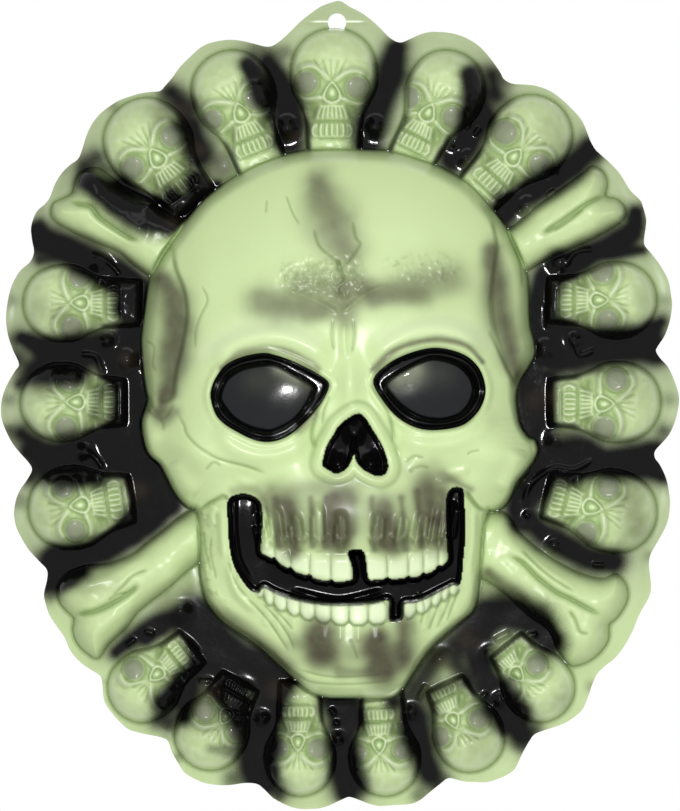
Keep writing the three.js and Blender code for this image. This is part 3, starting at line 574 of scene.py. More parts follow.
# %% Eyes
GROOVE_DEPTH, GROOVE_SLOPE = 17.0, 3.2
DOME_WALL, DOME_WALL_SLOPE, DOME_ROUND = 8, 2.6, 6.5
SOCKET_LIP, DOME_LIP = 1.6, 1.1
LEFT_EYE = (left_socket, left_dome, (276, 391), (62, 44))
RIGHT_EYE = (right_socket, right_dome, (448, 378), (80, 58))
skull_surface = ease(skull_inset / 2)
for socket, dome, middle, half in (LEFT_EYE, RIGHT_EYE):
    outer = (socket < 0) & (socket > -14)
    height += np.where(outer, SOCKET_LIP * band(socket, -3.5, 3), 0) * skull_surface
    oval = ((X - middle[0]) / half[0]) ** 2 + ((Y - middle[1]) / half[1]) ** 2
    raised = DOME_WALL * quarter(dome * MM / DOME_WALL_SLOPE) + DOME_ROUND * np.clip(1 - oval, 0, 1)
    sunk = -GROOVE_DEPTH * ease(socket * MM / GROOVE_SLOPE) + np.where(dome > 0, raised, 0)
    sunk += DOME_LIP * band(dome, -0.6, 1.5)
    height += np.where(socket > 0, sunk, 0)
print("groove depth", GROOVE_DEPTH, "mm")

# %% [markdown]
# ## Sinking the nose and the mouth
# Both have steep walls. Two nostrils swell up from the nose's floor with a thin ridge between them.
# The mouth's floor tilts a little, so it doesn't throw the lamp back at the viewer.

# %% Nose and mouth
NOSE_DEPTH, NOSE_SLOPE, NOSE_LIP = 20.0, 2.8, 2.2
LEFT_NOSTRIL, RIGHT_NOSTRIL, NOSE_HOLLOW = (338, 464), (371, 464), (354, 432)
NOSE_RIDGE = [(354, 458), (353.7, 448), (353.7, 436)]
MOUTH_FLOOR, MOUTH_TOP_Y, MOUTH_TILT, MOUTH_SLOPE = 26.0, 490, 0.05, 3
outer = (nose_inset < 0) & (nose_inset > -16)
height += np.where(outer, NOSE_LIP * band(nose_inset, -5, 4), 0)
height -= np.where(nose_inset > 0, NOSE_DEPTH * ease(nose_inset * MM / NOSE_SLOPE), 0)
in_nose = ease(nose_inset / 4)
swell(*LEFT_NOSTRIL, 8, 8, 7, in_nose)
swell(*RIGHT_NOSTRIL, 8, 8, 7, in_nose)
swell(*NOSE_HOLLOW, 12, 14, -6, in_nose)
ridge(NOSE_RIDGE, 2.2, 5, in_nose)
sink = ease(mouth_inset * MM / MOUTH_SLOPE)
mouth_floor = MOUTH_FLOOR - MOUTH_TILT * (Y - MOUTH_TOP_Y) * MM
height = np.where(mouth_inset > 0, height * (1 - sink) + mouth_floor * sink, height)
print("mouth floor", round(float(mouth_floor.min()), 1), "mm off the wall at its lowest")

# %% [markdown]
# ## Teeth
# Each tooth is a low rounded block between two of the gaps read off the photo. The upper ones grow
# softly out of the gum; the lower ones are separate beads with a notch under each gap.

# %% Teeth
LOWER_GAPS = [264, 274, 287, 300, 315, 331, 349, 368, 387, 403, 416, 431, 441, 449]
TOOTH_RISE, GUM_WIDTH, BEAD_WIDTH, BEAD_NOTCH = 3.6, 12, 6, 5
on_face = ease(-mouth_inset / 1.5 + 0.4)
lower_gap = np.min([np.abs(X - gap) for gap in LOWER_GAPS], axis=0)
beads = lower_teeth_inset - BEAD_NOTCH * np.clip(1 - lower_gap / 7, 0, 1) ** 2
for row, rise, gap in (
    (upper_teeth_inset, ease(upper_teeth_inset / GUM_WIDTH), upper_gap),
    (beads, quarter(beads / BEAD_WIDTH), lower_gap),
):
    tooth = TOOTH_RISE * rise * quarter((gap + 0.4) / 6)
    height += np.where(row > 0, tooth, 0) * on_face
print("upper and lower teeth", len(UPPER_GAPS) - 2, len(LOWER_GAPS) - 2)

# %% [markdown]
# ## Paint layers and creases
# The sheet was sprayed by hand, and its grooves and hollows get olive painted shade. Image textures
# could show that, but layers of numbers on the same grid can't drift away from the form. A crease is
# a fine groove with a line of olive painted shade.

# %% Paint layers and creases
# The olive layer is painted shade; smudge, glaze and enamel partly hold painted shade and highlights.
LAYERS = ("soot", "smudge_and_shade", "shaded_crease", "glaze_and_reflection", "amber", "pitted", "enamel_and_highlight")
CREASE_FADE, SHADE_WIDTH_SHARE = 0.12, 0.8
paint = {layer: np.zeros(X.shape) for layer in LAYERS}
ripple = cloud(11, 4.5) * 0.5 + cloud(12, 10) * 0.9


def cover(layer, amount, block=slice(None)):
    """Lays paint over what a layer already holds, everywhere or in one block of nodes."""
    paint[layer][block] = 1 - (1 - paint[layer][block]) * (1 - np.clip(amount, 0, 1))


def shaded_crease(points, width, depth, shade, within=None):
    """A fine groove with olive painted shade in it."""
    ridge(points, width, -depth, within)
    block, away, share = near_line(points, width * LINE_REACH)
    fade = ease(share / CREASE_FADE) * ease((1 - share) / CREASE_FADE)
    amount = shade * band(away, 0, width * SHADE_WIDTH_SHARE) * fade
    cover("shaded_crease", amount if within is None else amount * within[block], block)


print("paint layers", ", ".join(LAYERS))

# %% [markdown]
# ## Brows, cheekbones and the jaw's edges
# These are long soft ridges of the mould. Each is a line with a width in pixels and a rise in
# millimetres. The ones near the skull's edge fade out there, so they don't run into the valley.

# %% Ridges of the big skull
EDGE_RIDGES = {
    "left brow": ([(210, 372), (224, 352), (250, 339), (280, 337), (310, 348), (336, 368)], 11, 5.0),
    "right brow": ([(368, 366), (390, 345), (425, 331), (458, 334), (488, 356)], 11, 5.0),
    "chin": ([(292, 664), (310, 680), (345, 686), (380, 685), (402, 672)], 8, 3.5),
    "left cheekbone": ([(172, 462), (182, 482), (196, 496)], 10, 3.5),
    "right cheekbone": ([(524, 450), (515, 472), (502, 494)], 10, 5.0),
    "left side of the jaw": ([(203, 540), (207, 578), (222, 603), (250, 624), (282, 652)], 8, 3.0),
    "right side of the jaw": ([(474, 560), (470, 596), (450, 622), (428, 644)], 8, 2.5),
}
INNER_RIDGES = {
    "between the brows": ([(344, 322), (344, 340), (345, 360)], 3.5, 1.6),
    "under the left eye": ([(214, 425), (235, 448), (262, 456), (290, 450), (312, 434)], 9, 3.2),
    "under the right eye": ([(388, 430), (415, 443), (450, 443), (482, 427), (492, 405)], 9, 3.2),
    "left of the roots": ([(232, 478), (258, 488), (270, 505), (268, 530)], 5, 1.8),
    "right of the roots": ([(470, 470), (450, 474), (436, 486)], 5, 2.2),
    "left joint, outer": ([(216, 505), (212, 515), (213, 526)], 3.4, 2.0),
    "left joint, inner": ([(221, 506), (222, 535), (224, 560)], 3.4, 2.0),
    "left of the mouth": ([(228, 562), (231, 576), (238, 594), (258, 613)], 3.4, 2.0),
    "right of the mouth": ([(474, 505), (474, 540), (469, 578)], 3.4, 2.0),
}
for points, width, rise in EDGE_RIDGES.values():
    ridge(points, width, rise, on_skull)
for points, width, rise in INNER_RIDGES.values():
    ridge(points, width, rise)
print("ridges", len(EDGE_RIDGES) + len(INNER_RIDGES))

# %% [markdown]
# ## Swellings and hollows
# Between the ridges the bone swells and sinks softly. A row gives the middle, the reach across and
# down in pixels and the rise in millimetres; a hollow has a negative rise.

# %% Swellings of the big skull
EDGE_SWELLINGS = {
    "right cheekbone": (505, 455, 24, 20, 5.5),
    "beside the left temple": (151, 438, 8, 13, 3.0),
    "chin": (356, 655, 46, 22, 4.0),
    "left cheek": (245, 480, 26, 14, -3.5),
    "right cheek": (455, 472, 20, 12, -3.5),
}
INNER_SWELLINGS = {
    "bridge of the nose": (350, 384, 11, 24, 7.0),
    "left of the nose": (314, 440, 12, 28, -5.0),
    "right of the nose": (397, 445, 13, 26, -5.0),
    "left end of the upper teeth": (265, 520, 9, 30, -3.0),
    "right end of the upper teeth": (436, 515, 9, 30, -3.0),
    "upper jaw": (350, 520, 70, 34, 3.0),
    "over the left brow": (290, 296, 50, 16, -3.0),
    "over the right brow": (420, 290, 50, 16, -3.0),
    "forehead": (320, 250, 90, 50, 3.5),
}
LEFT_CHEEKBONE = (192, 452, 26, 16, 5.5)
LEFT_CHEEKBONE_DEGREES = 30
for row in EDGE_SWELLINGS.values():
    swell(*row, on_skull)
for row in INNER_SWELLINGS.values():
    swell(*row)
swell(*LEFT_CHEEKBONE, on_skull, LEFT_CHEEKBONE_DEGREES)
print("swellings", len(EDGE_SWELLINGS) + len(INNER_SWELLINGS) + 1)

# %% [markdown]
# ## Temples and jaw joints
# The temples lie a step below the forehead, and the jaw's arms a step below the cheekbones. Lowering
# all inside an outline by a soft step gives both.

# %% Temples and jaw joints
LEFT_TEMPLE = [
    (172, 246), (176, 268), (184, 289), (187.5, 313), (183, 343), (176, 373), (174, 397), (162, 402),
    (150, 396), (120, 380), (118, 300), (150, 240),
]
RIGHT_TEMPLE = [
    (486, 205), (491, 219), (496, 241), (495, 260), (492, 284), (490, 305), (494, 332), (506, 367),
    (522, 394), (560, 380), (560, 300), (540, 230),
]
LEFT_JOINT = [
    (176, 506), (191, 511), (199, 511), (210, 502), (227, 496), (232, 530), (236, 590), (200, 610),
    (170, 560),
]
RIGHT_JOINT = [
    (464, 492), (478, 506), (489, 512), (505, 509), (505, 560), (480, 610), (462, 600), (463, 540),
]
TEMPLE_DROP, TEMPLE_STEP = 3.9, 7
JOINT_DROP, JOINT_STEP = 5.5, 3
JOINT_FOOT_Y, JOINT_FADE = 600, 70


def step_down(points, drop, step):
    """How much to take off the skull inside an outline, with a soft step at its edge."""
    return drop * ease((inset(points) + step / 2) / step) * on_skull


for temple in (LEFT_TEMPLE, RIGHT_TEMPLE):
    height -= step_down(temple, TEMPLE_DROP, TEMPLE_STEP)
for joint in (LEFT_JOINT, RIGHT_JOINT):
    height -= step_down(joint, JOINT_DROP, JOINT_STEP) * ease((JOINT_FOOT_Y - Y) / JOINT_FADE)
print("temples sunk", TEMPLE_DROP, "mm, jaw joints", JOINT_DROP, "mm")

# %% [markdown]
# ## Cracks and creases
# Cracks meet in the middle of the forehead, and creases run round the temples and the nose. A row
# gives the line, its width in pixels and its depth in millimetres; each has olive painted shade.
# Two raised folds run up from the bridge of the nose.

# %% Cracks of the forehead, temples and nose
FOREHEAD_CRACKS = [
    ([(313, 227), (319, 246), (331, 257), (340, 265), (342, 276)], 1.5, 0.9),
    ([(352, 219), (356, 238), (360, 245), (350, 260), (343, 268)], 1.5, 0.9),
    ([(340, 258), (338, 268), (344, 280), (338, 290), (345, 300)], 2.0, 1.5),
    ([(286, 195), (292, 212), (300, 226)], 1.3, 0.4), ([(267, 200), (266, 214)], 1.2, 0.4),
    ([(333, 318), (332, 335), (334, 352)], 1.5, 0.6), ([(353, 318), (354, 335), (352, 354)], 1.5, 0.6),
]
TEMPLE_CREASES = [
    ([(172, 246), (176, 268), (184, 289), (187.5, 313), (183, 343), (176, 373), (173, 397)], 2, 1.0),
    ([(201, 284), (208, 300), (201, 316), (196, 332), (196, 351)], 1.4, 0.6),
    ([(145, 340), (154, 347), (153, 365), (158, 372)], 1.4, 0.5),
    ([(491, 219), (496, 241), (495, 260), (492, 284), (489, 305)], 2, 1.0),
    ([(487, 327), (506, 367), (522, 394)], 2, 1.0),
    ([(497, 214), (512, 240), (520, 265), (522, 290)], 1.6, 0.6),
    ([(143, 400), (150, 412), (163, 422), (163, 432)], 2, 0.8),
    ([(148, 392), (155, 410), (165, 418), (175, 402)], 2.4, 0.8),
]
CHEEK_CREASES = [
    ([(323, 392), (318, 406), (315, 419), (312, 435), (316, 450)], 2.6, 1.2),
    ([(368, 381), (378, 396), (387, 410), (392, 428), (394, 445)], 2.6, 1.2),
    ([(330, 395), (324, 412), (322, 425)], 1.5, 0.7),
    ([(176, 410), (184, 424), (188, 435), (201, 448), (220, 459), (247, 466), (269, 474)], 2, 1.0),
    ([(206, 470), (214, 462), (222, 466)], 1.6, 0.4), ([(266, 503), (268, 520), (263, 535)], 2, 0.8),
    ([(466, 455), (470, 452), (480, 450)], 1.4, 0.4), ([(404, 462), (414, 456), (424, 458)], 2, 0.6),
    ([(408, 472), (420, 466), (430, 468)], 2, 0.6),
]
LEFT_FOLD = [(282, 289), (307, 297), (323, 305), (340, 315)]
RIGHT_FOLD = [(340, 315), (352, 305), (368, 293), (390, 285)]
CRACK_SHADE = 0.55
# Each crack and crease is a groove with olive painted shade along it.
for points, width, depth in FOREHEAD_CRACKS + TEMPLE_CREASES + CHEEK_CREASES:
    shaded_crease(points, width, depth, CRACK_SHADE, on_skull)
for fold in (LEFT_FOLD, RIGHT_FOLD):
    ridge(fold, 2.6, 1.3)
print("cracks", len(FOREHEAD_CRACKS) + len(TEMPLE_CREASES) + len(CHEEK_CREASES))

# %% [markdown]
# ## Creases of the jaw
# Slanting grooves run from the lower teeth to the chin on both sides, two long ones follow the
# chin's rim, and one on each side parts the jaw from the cheekbone. All have olive painted shade.

# %% Creases of the jaw
JAW_CREASES = [
    ([(150, 452), (176, 500), (191, 510), (199, 510), (210, 502), (226, 497)], 2.2, 1.0),
    ([(464, 493), (478, 507), (490, 512)], 2.2, 1.0),
    ([(262, 640), (300, 676), (330, 683), (372, 682), (402, 677)], 1.6, 0.7),
    ([(296, 668), (335, 676), (400, 672)], 1.4, 0.5),
    ([(246, 596), (258, 608), (270, 622), (282, 640), (290, 652)], 1.5, 0.8),
    ([(262, 602), (276, 617), (288, 634), (295, 650)], 1.5, 0.8),
    ([(272, 606), (284, 618), (294, 630)], 1.4, 0.6), ([(228, 560), (236, 582), (248, 598)], 1.5, 0.6),
    ([(350, 637), (354, 648), (358, 659)], 1.5, 0.5), ([(417, 590), (424, 606), (420, 625)], 1.5, 0.6),
    ([(440, 600), (434, 615), (428, 630)], 1.5, 0.6), ([(451, 594), (444, 612), (436, 628)], 1.5, 0.6),
    ([(459, 588), (452, 606), (446, 622)], 1.5, 0.6), ([(204, 529), (206, 550), (212, 572)], 1.6, 0.6),
    ([(212, 535), (211, 552), (217, 580)], 1.4, 0.5),
]
# Each jaw crease is a groove with olive painted shade along it.
for points, width, depth in JAW_CREASES:
    shaded_crease(points, width, depth, CRACK_SHADE, on_skull)
print("jaw creases", len(JAW_CREASES))

# %% [markdown]
# ## Rough patches
# The middle of the forehead is pitted, as if the bone had crumbled. Short random waves make the
# pits and a soft patch says where. Low waves keep all the forms from looking machined.

# %% Rough patches
PITTED = [
    (278, 268), (300, 262), (330, 255), (352, 256), (366, 275), (362, 295), (344, 312), (330, 306),
    (305, 294), (284, 290),
]
WRINKLED = [
    (385, 262), (420, 254), (455, 258), (462, 272), (440, 284), (400, 282),
]
PORES = [
    (199, 520), (212, 520), (214, 580), (232, 605), (214, 604), (203, 585),
]
PIT_DEPTHS = ((PITTED, 0.4), (WRINKLED, 0.2), (PORES, 0.3))
PIT_INK = 0.35
SKULL_WAVES, SMALL_WAVES = 0.12, 0.2
pits = cloud(5, 1.5)
for points, rough in PIT_DEPTHS:
    patch = ease((inset(points) + 7) / 16)
    height += rough * pits * patch
    cover("shaded_crease", PIT_INK * ease(pits - 0.6) * patch)
    cover("pitted", patch * min(1, 2.5 * rough))
height += SKULL_WAVES * cloud(6, 9) * on_skull
wrinkled = np.max([ease(edge / 10) for edge in small_insets], axis=0)
wrinkled += 0.6 * np.max([ease(edge / 12) for edge in bone_places.values()], axis=0)
height += SMALL_WAVES * cloud(21, 2.6) * wrinkled * clear_of_skull
print("deepest pits", round(float(-PIT_DEPTHS[0][1] * pits.min()), 1), "mm")

# %% [markdown]
# ## Roots of the upper teeth
# A rib stands up from each upper tooth and fans out towards the nose, with a thinner one on either
# side, and a low arch marks the gum. The missing tooth has none, and the tops differ in height.

# %% Upper roots
ROOT_TOP_Y, ROOT_TOP_WAVE, ROOT_MIDDLE_Y, ROOT_FOOT_Y = 499, 12, 524, 552
FAN_MIDDLE_X, FAN_SHARE = 355, 0.12
ROOT_WIDTH, ROOT_RISE = 4.2, 4.6
RIGHT_RIB_X, RIGHT_RIB_TOP, RIGHT_RIB_FOOT_Y = 5, 6, 540
LEFT_RIB_X, LEFT_RIB_TOP, LEFT_RIB_FOOT_Y = -4, 14, 545
GUM_SIDE_Y, GUM_TOP_Y = 533, 541
for left, right in zip(UPPER_GAPS, UPPER_GAPS[1:]):
    middle = (left + right) / 2
    if abs(middle - MISSING_TOOTH_X) < 4:
        continue
    top = ROOT_TOP_Y + ROOT_TOP_WAVE * abs(math.sin(middle))
    fan = (middle - FAN_MIDDLE_X) * FAN_SHARE
    root = [(middle + fan, top), (middle + fan / 2, ROOT_MIDDLE_Y), (middle, ROOT_FOOT_Y)]
    ridge(root, ROOT_WIDTH, ROOT_RISE)
    rib_top = (middle + fan + RIGHT_RIB_X, top + RIGHT_RIB_TOP)
    ridge([rib_top, (middle + fan / 2 + RIGHT_RIB_X, RIGHT_RIB_FOOT_Y)], 1.7, 2.5)
    rib_top = (middle + fan + LEFT_RIB_X, top + LEFT_RIB_TOP)
    ridge([rib_top, (middle + fan / 2 + LEFT_RIB_X - 1, LEFT_RIB_FOOT_Y)], 1.7, 2.3)
    ridge([(left + 1.5, GUM_SIDE_Y), (middle, GUM_TOP_Y), (right - 1.5, GUM_SIDE_Y)], 2.0, 1.5)
print("upper roots raised")

# %% [markdown]
# ## Roots of the lower teeth and lines in the mouth
# The lower roots are short and low. The mouth's floor has a ridge along its outer edge on the left
# and one along the lip, which catch the light in the black.

# %% Lower roots and mouth lines
LOWER_ROOT_Y, LOWER_ROOT_LENGTH, LOWER_ROOT_BEND = 620, 22, 20
LOWER_MIDDLE_X, LOWER_HALF = 352, 95
MOUTH_SIDE = [(234.5, 476), (234.5, 500), (235, 530), (238.5, 556), (246, 572), (254, 583)]
MOUTH_LIP = [(290, 588), (310, 595), (338, 600), (366, 595), (385, 589)]
for left, right in zip(LOWER_GAPS, LOWER_GAPS[1:]):
    middle = (left + right) / 2
    if 388 < middle < 402:
        continue
    sideways = middle - LOWER_MIDDLE_X
    foot = LOWER_ROOT_Y - LOWER_ROOT_BEND * (sideways / LOWER_HALF) ** 2
    ridge([(middle, foot), (middle + sideways * 0.05, foot + LOWER_ROOT_LENGTH)], 3.6, 1.0)
in_mouth = ease(mouth_inset / 3)
ridge(MOUTH_SIDE, 2.0, 2.0, in_mouth)
ridge(MOUTH_LIP, 2.6, 2.6, in_mouth)
print("lower roots and mouth lines raised")

# %% [markdown]
# ## Places on a small face
# The real faces differ. Here they share one design, turned and scaled to each skull, while the
# eyes and noses stand where the photo has them. A place is so far from the nose towards the jaw and
# so far to the side, in pixels on a full-sized face.

# %% Places on a small face
FULL_RADIUS = 42
small_surface = {
    name: ease(place[4] / 4) * clear_of_skull for name, place in small_places.items()
}


def face_of(name):
    """A small skull's size, nose, ways along and across, surface and a finder of places."""
    nose = np.array(SMALL_SKULLS[name][4], float)
    _, radius, along, across, _ = small_places[name]
    size = radius / FULL_RADIUS

    def at(forward, sideways):
        """A place on this face."""
        return tuple(nose + size * (forward * along + sideways * across))

    return size, nose, along, across, small_surface[name], at


print("face sizes", [round(face_of(name)[0], 2) for name in SMALL_SKULLS])

# %% [markdown]
# ## Eyes of the small skulls
# Each eye is a clear dome in a soft socket, left free of the green: it shows as grey glaze with a
# thin ring and a wider ring of olive painted shade round it.

# %% Small eyes
SMALL_SOCKET, SMALL_DOME, SMALL_RING = 2.4, 6.2, 0.3
RIM_SHADE, SHADE_INK, EYE_GLAZE = 0.4, 0.28, 0.85
for name, (_, _, *eyes, _, _) in SMALL_SKULLS.items():
    here = small_surface[name]
    for x, y, radius in eyes:
        away = np.hypot(X - x, Y - y)
        near = (away < radius * 2.2) * here
        dome = SMALL_DOME * np.sqrt(np.clip(1 - (away / radius) ** 2, 0, 1))
        ring = SMALL_RING * band(away, radius + 2.0, 1.2)
        height += (dome + ring - SMALL_SOCKET * band(away, 0, radius * 1.25)) * near
        # Olive painted shade: a thin ring at the eye's edge and a wider one round it.
        cover("shaded_crease", RIM_SHADE * band(away, radius + 0.2, 1.1) * near)
        cover("shaded_crease", SHADE_INK * band(away, radius + 1.0, 4) * near)
        cover("glaze_and_reflection", EYE_GLAZE * ease((radius + 0.5 - away) / 4) * here)
print("small eyes", 2 * len(SMALL_SKULLS))

# %% [markdown]
# ## Brows and cheekbones of the small skulls
# A brow arches over each eye and meets the other above the nose, and a cheekbone runs under it. The
# side of the jaw is hollow below, with olive painted shade.

# %% Small brows and cheekbones
EYE_MARGIN = 3.5
SMALL_BROW, SMALL_CHEEK, JAW_HOLLOW, CHEEK_SHADE = 4.2, 4.2, -6.0, 0.3
for name, (_, _, *eyes, _, _) in SMALL_SKULLS.items():
    size, nose, along, across, here, at = face_of(name)
    for x, y, radius in eyes:
        eye = np.array([x, y], float)
        side = 1 if (eye - nose) @ across > 0 else -1
        out = radius + EYE_MARGIN
        brow = [nose - 11 * size * along, eye - out * along - side * out * 0.35 * across]
        brow.append(eye - out * 0.75 * along + side * out * 0.7 * across)
        ridge([tuple(p) for p in brow], 3.2, SMALL_BROW, here)
        cheek = [nose + size * (4 * along + side * 8 * across), eye + out * along]
        cheek.append(eye + out * 0.8 * along + side * out * 0.75 * across)
        ridge([tuple(p) for p in cheek], 2.8, SMALL_CHEEK, here)
        swell(*at(21, side * 21), 7 * size, 10 * size, JAW_HOLLOW, here)
        # Olive painted shade in the hollow at the side of the jaw.
        cheek_x, cheek_y = at(19, side * 19)
        away = np.hypot(X - cheek_x, Y - cheek_y) / size
        cover("shaded_crease", CHEEK_SHADE * band(away, 0, 7) * here)
print("small brows and cheekbones raised")

# %% [markdown]
# ## Noses of the small skulls
# The nose is a raised egg-shaped ring with a small lump in it, narrow towards the brow. Five
# wrinkles fan out from it over the forehead; the ring and the wrinkles carry olive painted shade.

# %% Small noses
NOSE_LENGTH, NOSE_WIDTH, NOSE_TAPER = 12, 8.8, 0.05
NOSE_RING, NOSE_LUMP, NOSE_SHADE = 4.8, 2.2, 0.6
WRINKLE_LEANS = (-9, -4, 1, 6, 11)
for name in SMALL_SKULLS:
    size, nose, along, across, here, at = face_of(name)
    a = ((X - nose[0]) * along[0] + (Y - nose[1]) * along[1]) / size
    b = ((X - nose[0]) * across[0] + (Y - nose[1]) * across[1]) / size
    width = NOSE_WIDTH * (1 - NOSE_TAPER * np.clip(-a, -7, 12))
    egg = np.hypot(a / NOSE_LENGTH, b / width)
    near = (egg < 2.5) * here
    height += (NOSE_RING * band(egg, 0.85, 0.17) + NOSE_LUMP * band(egg, 0.1, 0.28)) * near
    # Olive painted shade inside the nose's ring.
    cover("shaded_crease", NOSE_SHADE * band(egg, 0.52, 0.16) * near)
    for lean in WRINKLE_LEANS:
        wrinkle = [at(-12, lean * 0.3), at(-23, lean), at(-36, lean * 1.8)]
        shaded_crease(wrinkle, 1.2, 0.8, 0.2, here)
print("small noses", len(SMALL_SKULLS), "with", len(WRINKLE_LEANS), "wrinkles each")

# %% [markdown]
# ## Teeth of the small skulls
# Two rows of long teeth stand on a soft muzzle. Ridges are the teeth, creases the gaps between
# them, and one crease across parts the two rows. The creases carry olive painted shade.

# %% Small teeth
TOOTH_PLACES = (-16, -10.5, -5.2, 0, 5.2, 10.5, 16)
GAP_PLACES = (-13.2, -7.8, -2.6, 2.6, 7.8, 13.2)
SMALL_TOOTH, SMALL_GAP, GAP_SHADE = 3.4, 1.2, 0.38
for name in SMALL_SKULLS:
    size, nose, along, across, here, at = face_of(name)
    swell(*at(22, 0), 14 * size, 14 * size, 2.6, here)
    # Each crease of the teeth carries olive painted shade.
    for sideways in GAP_PLACES:
        shaded_crease([at(13, sideways * 0.7), at(27, sideways)], 1.2, SMALL_GAP, GAP_SHADE, here)
        shaded_crease([at(29, sideways), at(44, sideways)], 1.2, SMALL_GAP, GAP_SHADE, here)
    for sideways in TOOTH_PLACES:
        upper = [at(11, sideways * 0.6), at(20, sideways * 0.85), at(28, sideways)]
        spread = sideways * (1 + 0.25 * abs(sideways) / 16)
        lower = [at(29, sideways), at(38, spread), at(46, sideways)]
        ridge(upper, 2.0, SMALL_TOOTH, here)
        ridge(lower, 2.0, SMALL_TOOTH, here)
    shaded_crease([at(28.5, -19), at(28.5, 0), at(28.5, 19)], 1.4, 1.8, 0.5, here)
    shaded_crease([at(46.5, -17), at(46.5, 0), at(46.5, 17)], 1.5, 1.2, 0.3, here)
print("teeth on a small skull", 2 * len(TOOTH_PLACES))

# %% [markdown]
# ## Grooves and sides of the bones
# Each bone has a deep groove from between its knobs along the shaft and shorter ones beside it,
# all with olive painted shade. A low ridge along each side rounds the shaft off.

# %% Bone grooves
BONE_GROOVES = [
    ([(66, 200), (79, 204), (91, 207), (99, 217), (111, 226), (128, 237), (142, 242)], 3.2, 4.5),
    ([(540, 235), (558, 224), (575, 212), (592, 201), (608, 195)], 3.0, 4.5),
    ([(552, 232), (570, 220), (584, 208)], 1.6, 1.5),
    ([(73, 615), (85, 613), (98, 610), (116, 601), (133, 590), (140, 582)], 3.4, 5.0),
    ([(112, 596), (123, 586), (133, 575), (149, 569)], 1.6, 1.2),
    ([(108, 600), (118, 594), (128, 592)], 1.4, 1.0),
    ([(505, 553), (522, 562), (537, 577), (555, 591), (571, 599), (591, 610), (606, 617)], 3.0, 4.0),
    ([(568, 609), (575, 619), (580, 631), (591, 634)], 1.8, 1.2),
    ([(520, 548), (545, 572), (575, 592)], 2.0, 1.0),
]
BONE_SIDES = [
    [(80, 226), (105, 243), (135, 260)], [(95, 191), (110, 206), (135, 226), (150, 233)],
    [(545, 252), (575, 237), (605, 222)], [(530, 218), (560, 196), (588, 180)],
    [(90, 640), (110, 622), (140, 600)], [(70, 590), (100, 580), (150, 553)],
    [(500, 532), (530, 560), (570, 585)],
]
# Each groove of the bones carries olive painted shade.
for points, width, depth in BONE_GROOVES:
    shaded_crease(points, width, depth, 0.6, clear_of_skull)
for points in BONE_SIDES:
    ridge(points, 6, 1.6, clear_of_skull)
print("bone grooves", len(BONE_GROOVES))

# %% [markdown]
# ## Lumps and folds in the valleys
# Where the sheet is stretched between two forms it buckles: round lumps, short folds and gentle
# waves, which give the black its glints. A lump has a middle, a radius and a rise. All stay beside
# the big skull, whose wall is smooth.

# %% Lumps and folds
LUMPS = [
    (287, 128, 9, 5), (375, 127, 8, 5), (224, 165, 12, 6), (148, 205, 7, 4), (198, 192, 6, 4),
    (466, 158, 7, 3), (455, 140, 8, 3), (527, 206, 8, 3), (553, 169, 6, 3), (524, 480, 8, 4),
    (107, 341, 6, 4), (126, 360, 9, 4), (556, 440, 8, 3), (545, 350, 9, 4), (574, 340, 6, 3),
    (180, 612, 10, 4), (262, 718, 6, 3), (338, 738, 5, 3), (411, 712, 6, 3), (440, 660, 9, 3),
    (490, 655, 7, 3), (175, 580, 12, 4), (500, 585, 12, 4), (205, 690, 9, 3), (243, 690, 9, 3),
    (500, 700, 6, 3), (554, 546, 6, 3), (100, 262, 9, 4), (560, 262, 9, 4), (84, 452, 7, 4),
]
for x, y, radius, rise in LUMPS:
    swell(x, y, radius, radius, rise, beside_skull)
FOLDS = [
    [(126, 646), (136, 638)], [(144, 631), (155, 634)], [(173, 629), (190, 642), (200, 654)],
    [(198, 681), (214, 681)], [(229, 678), (243, 687), (255, 694)], [(427, 684), (418, 700)],
    [(473, 706), (488, 692)], [(494, 641), (511, 632)], [(527, 636), (538, 634)],
    [(88, 254), (103, 258), (117, 271), (120, 280)], [(78, 354), (95, 356), (101, 369), (105, 375)],
    [(83, 454), (93, 455), (104, 470)], [(565, 268), (572, 255), (583, 250), (596, 250)],
    [(547, 303), (548, 330)], [(596, 349), (580, 355), (574, 340)],
    [(524, 508), (530, 485), (553, 468), (575, 469), (599, 455)], [(592, 565), (605, 565)],
    [(333, 722), (340, 724)], [(330, 708), (336, 716)], [(466, 130), (470, 122)], [(474, 136), (480, 127)],
    [(546, 197), (556, 190)], [(146, 207), (152, 202)], [(196, 194), (201, 189)], [(262, 717), (270, 717)],
    [(524, 512), (530, 518)],
]
TAB_CREASE = [(304, 23), (337, 23), (370, 23)]
FOLD_WIDTH, FOLD_RISE, VALLEY_WAVES = 2.4, 1.8, 0.1
shaded_crease(TAB_CREASE, 1.2, 0.35, 0.15)
for points in FOLDS:
    ridge(points, FOLD_WIDTH, FOLD_RISE, beside_skull)
height += VALLEY_WAVES * cloud(7, 9) * ease((plaque_inset - 2) / 8) * beside_skull
print("lumps", len(LUMPS), "and folds", len(FOLDS))

# %% [markdown]
# ## Black spray
# The valleys were sprayed black and the big skull kept clean, perhaps with a mask. A stroke is a
# list of places with a radius each, then how soft its edge is and how strong. Slow noise frays the
# edge, as a hand-held spray does.

# %% Spraying
SPRAY_REACH, FRAY_SHARE = 2.4, 0.09


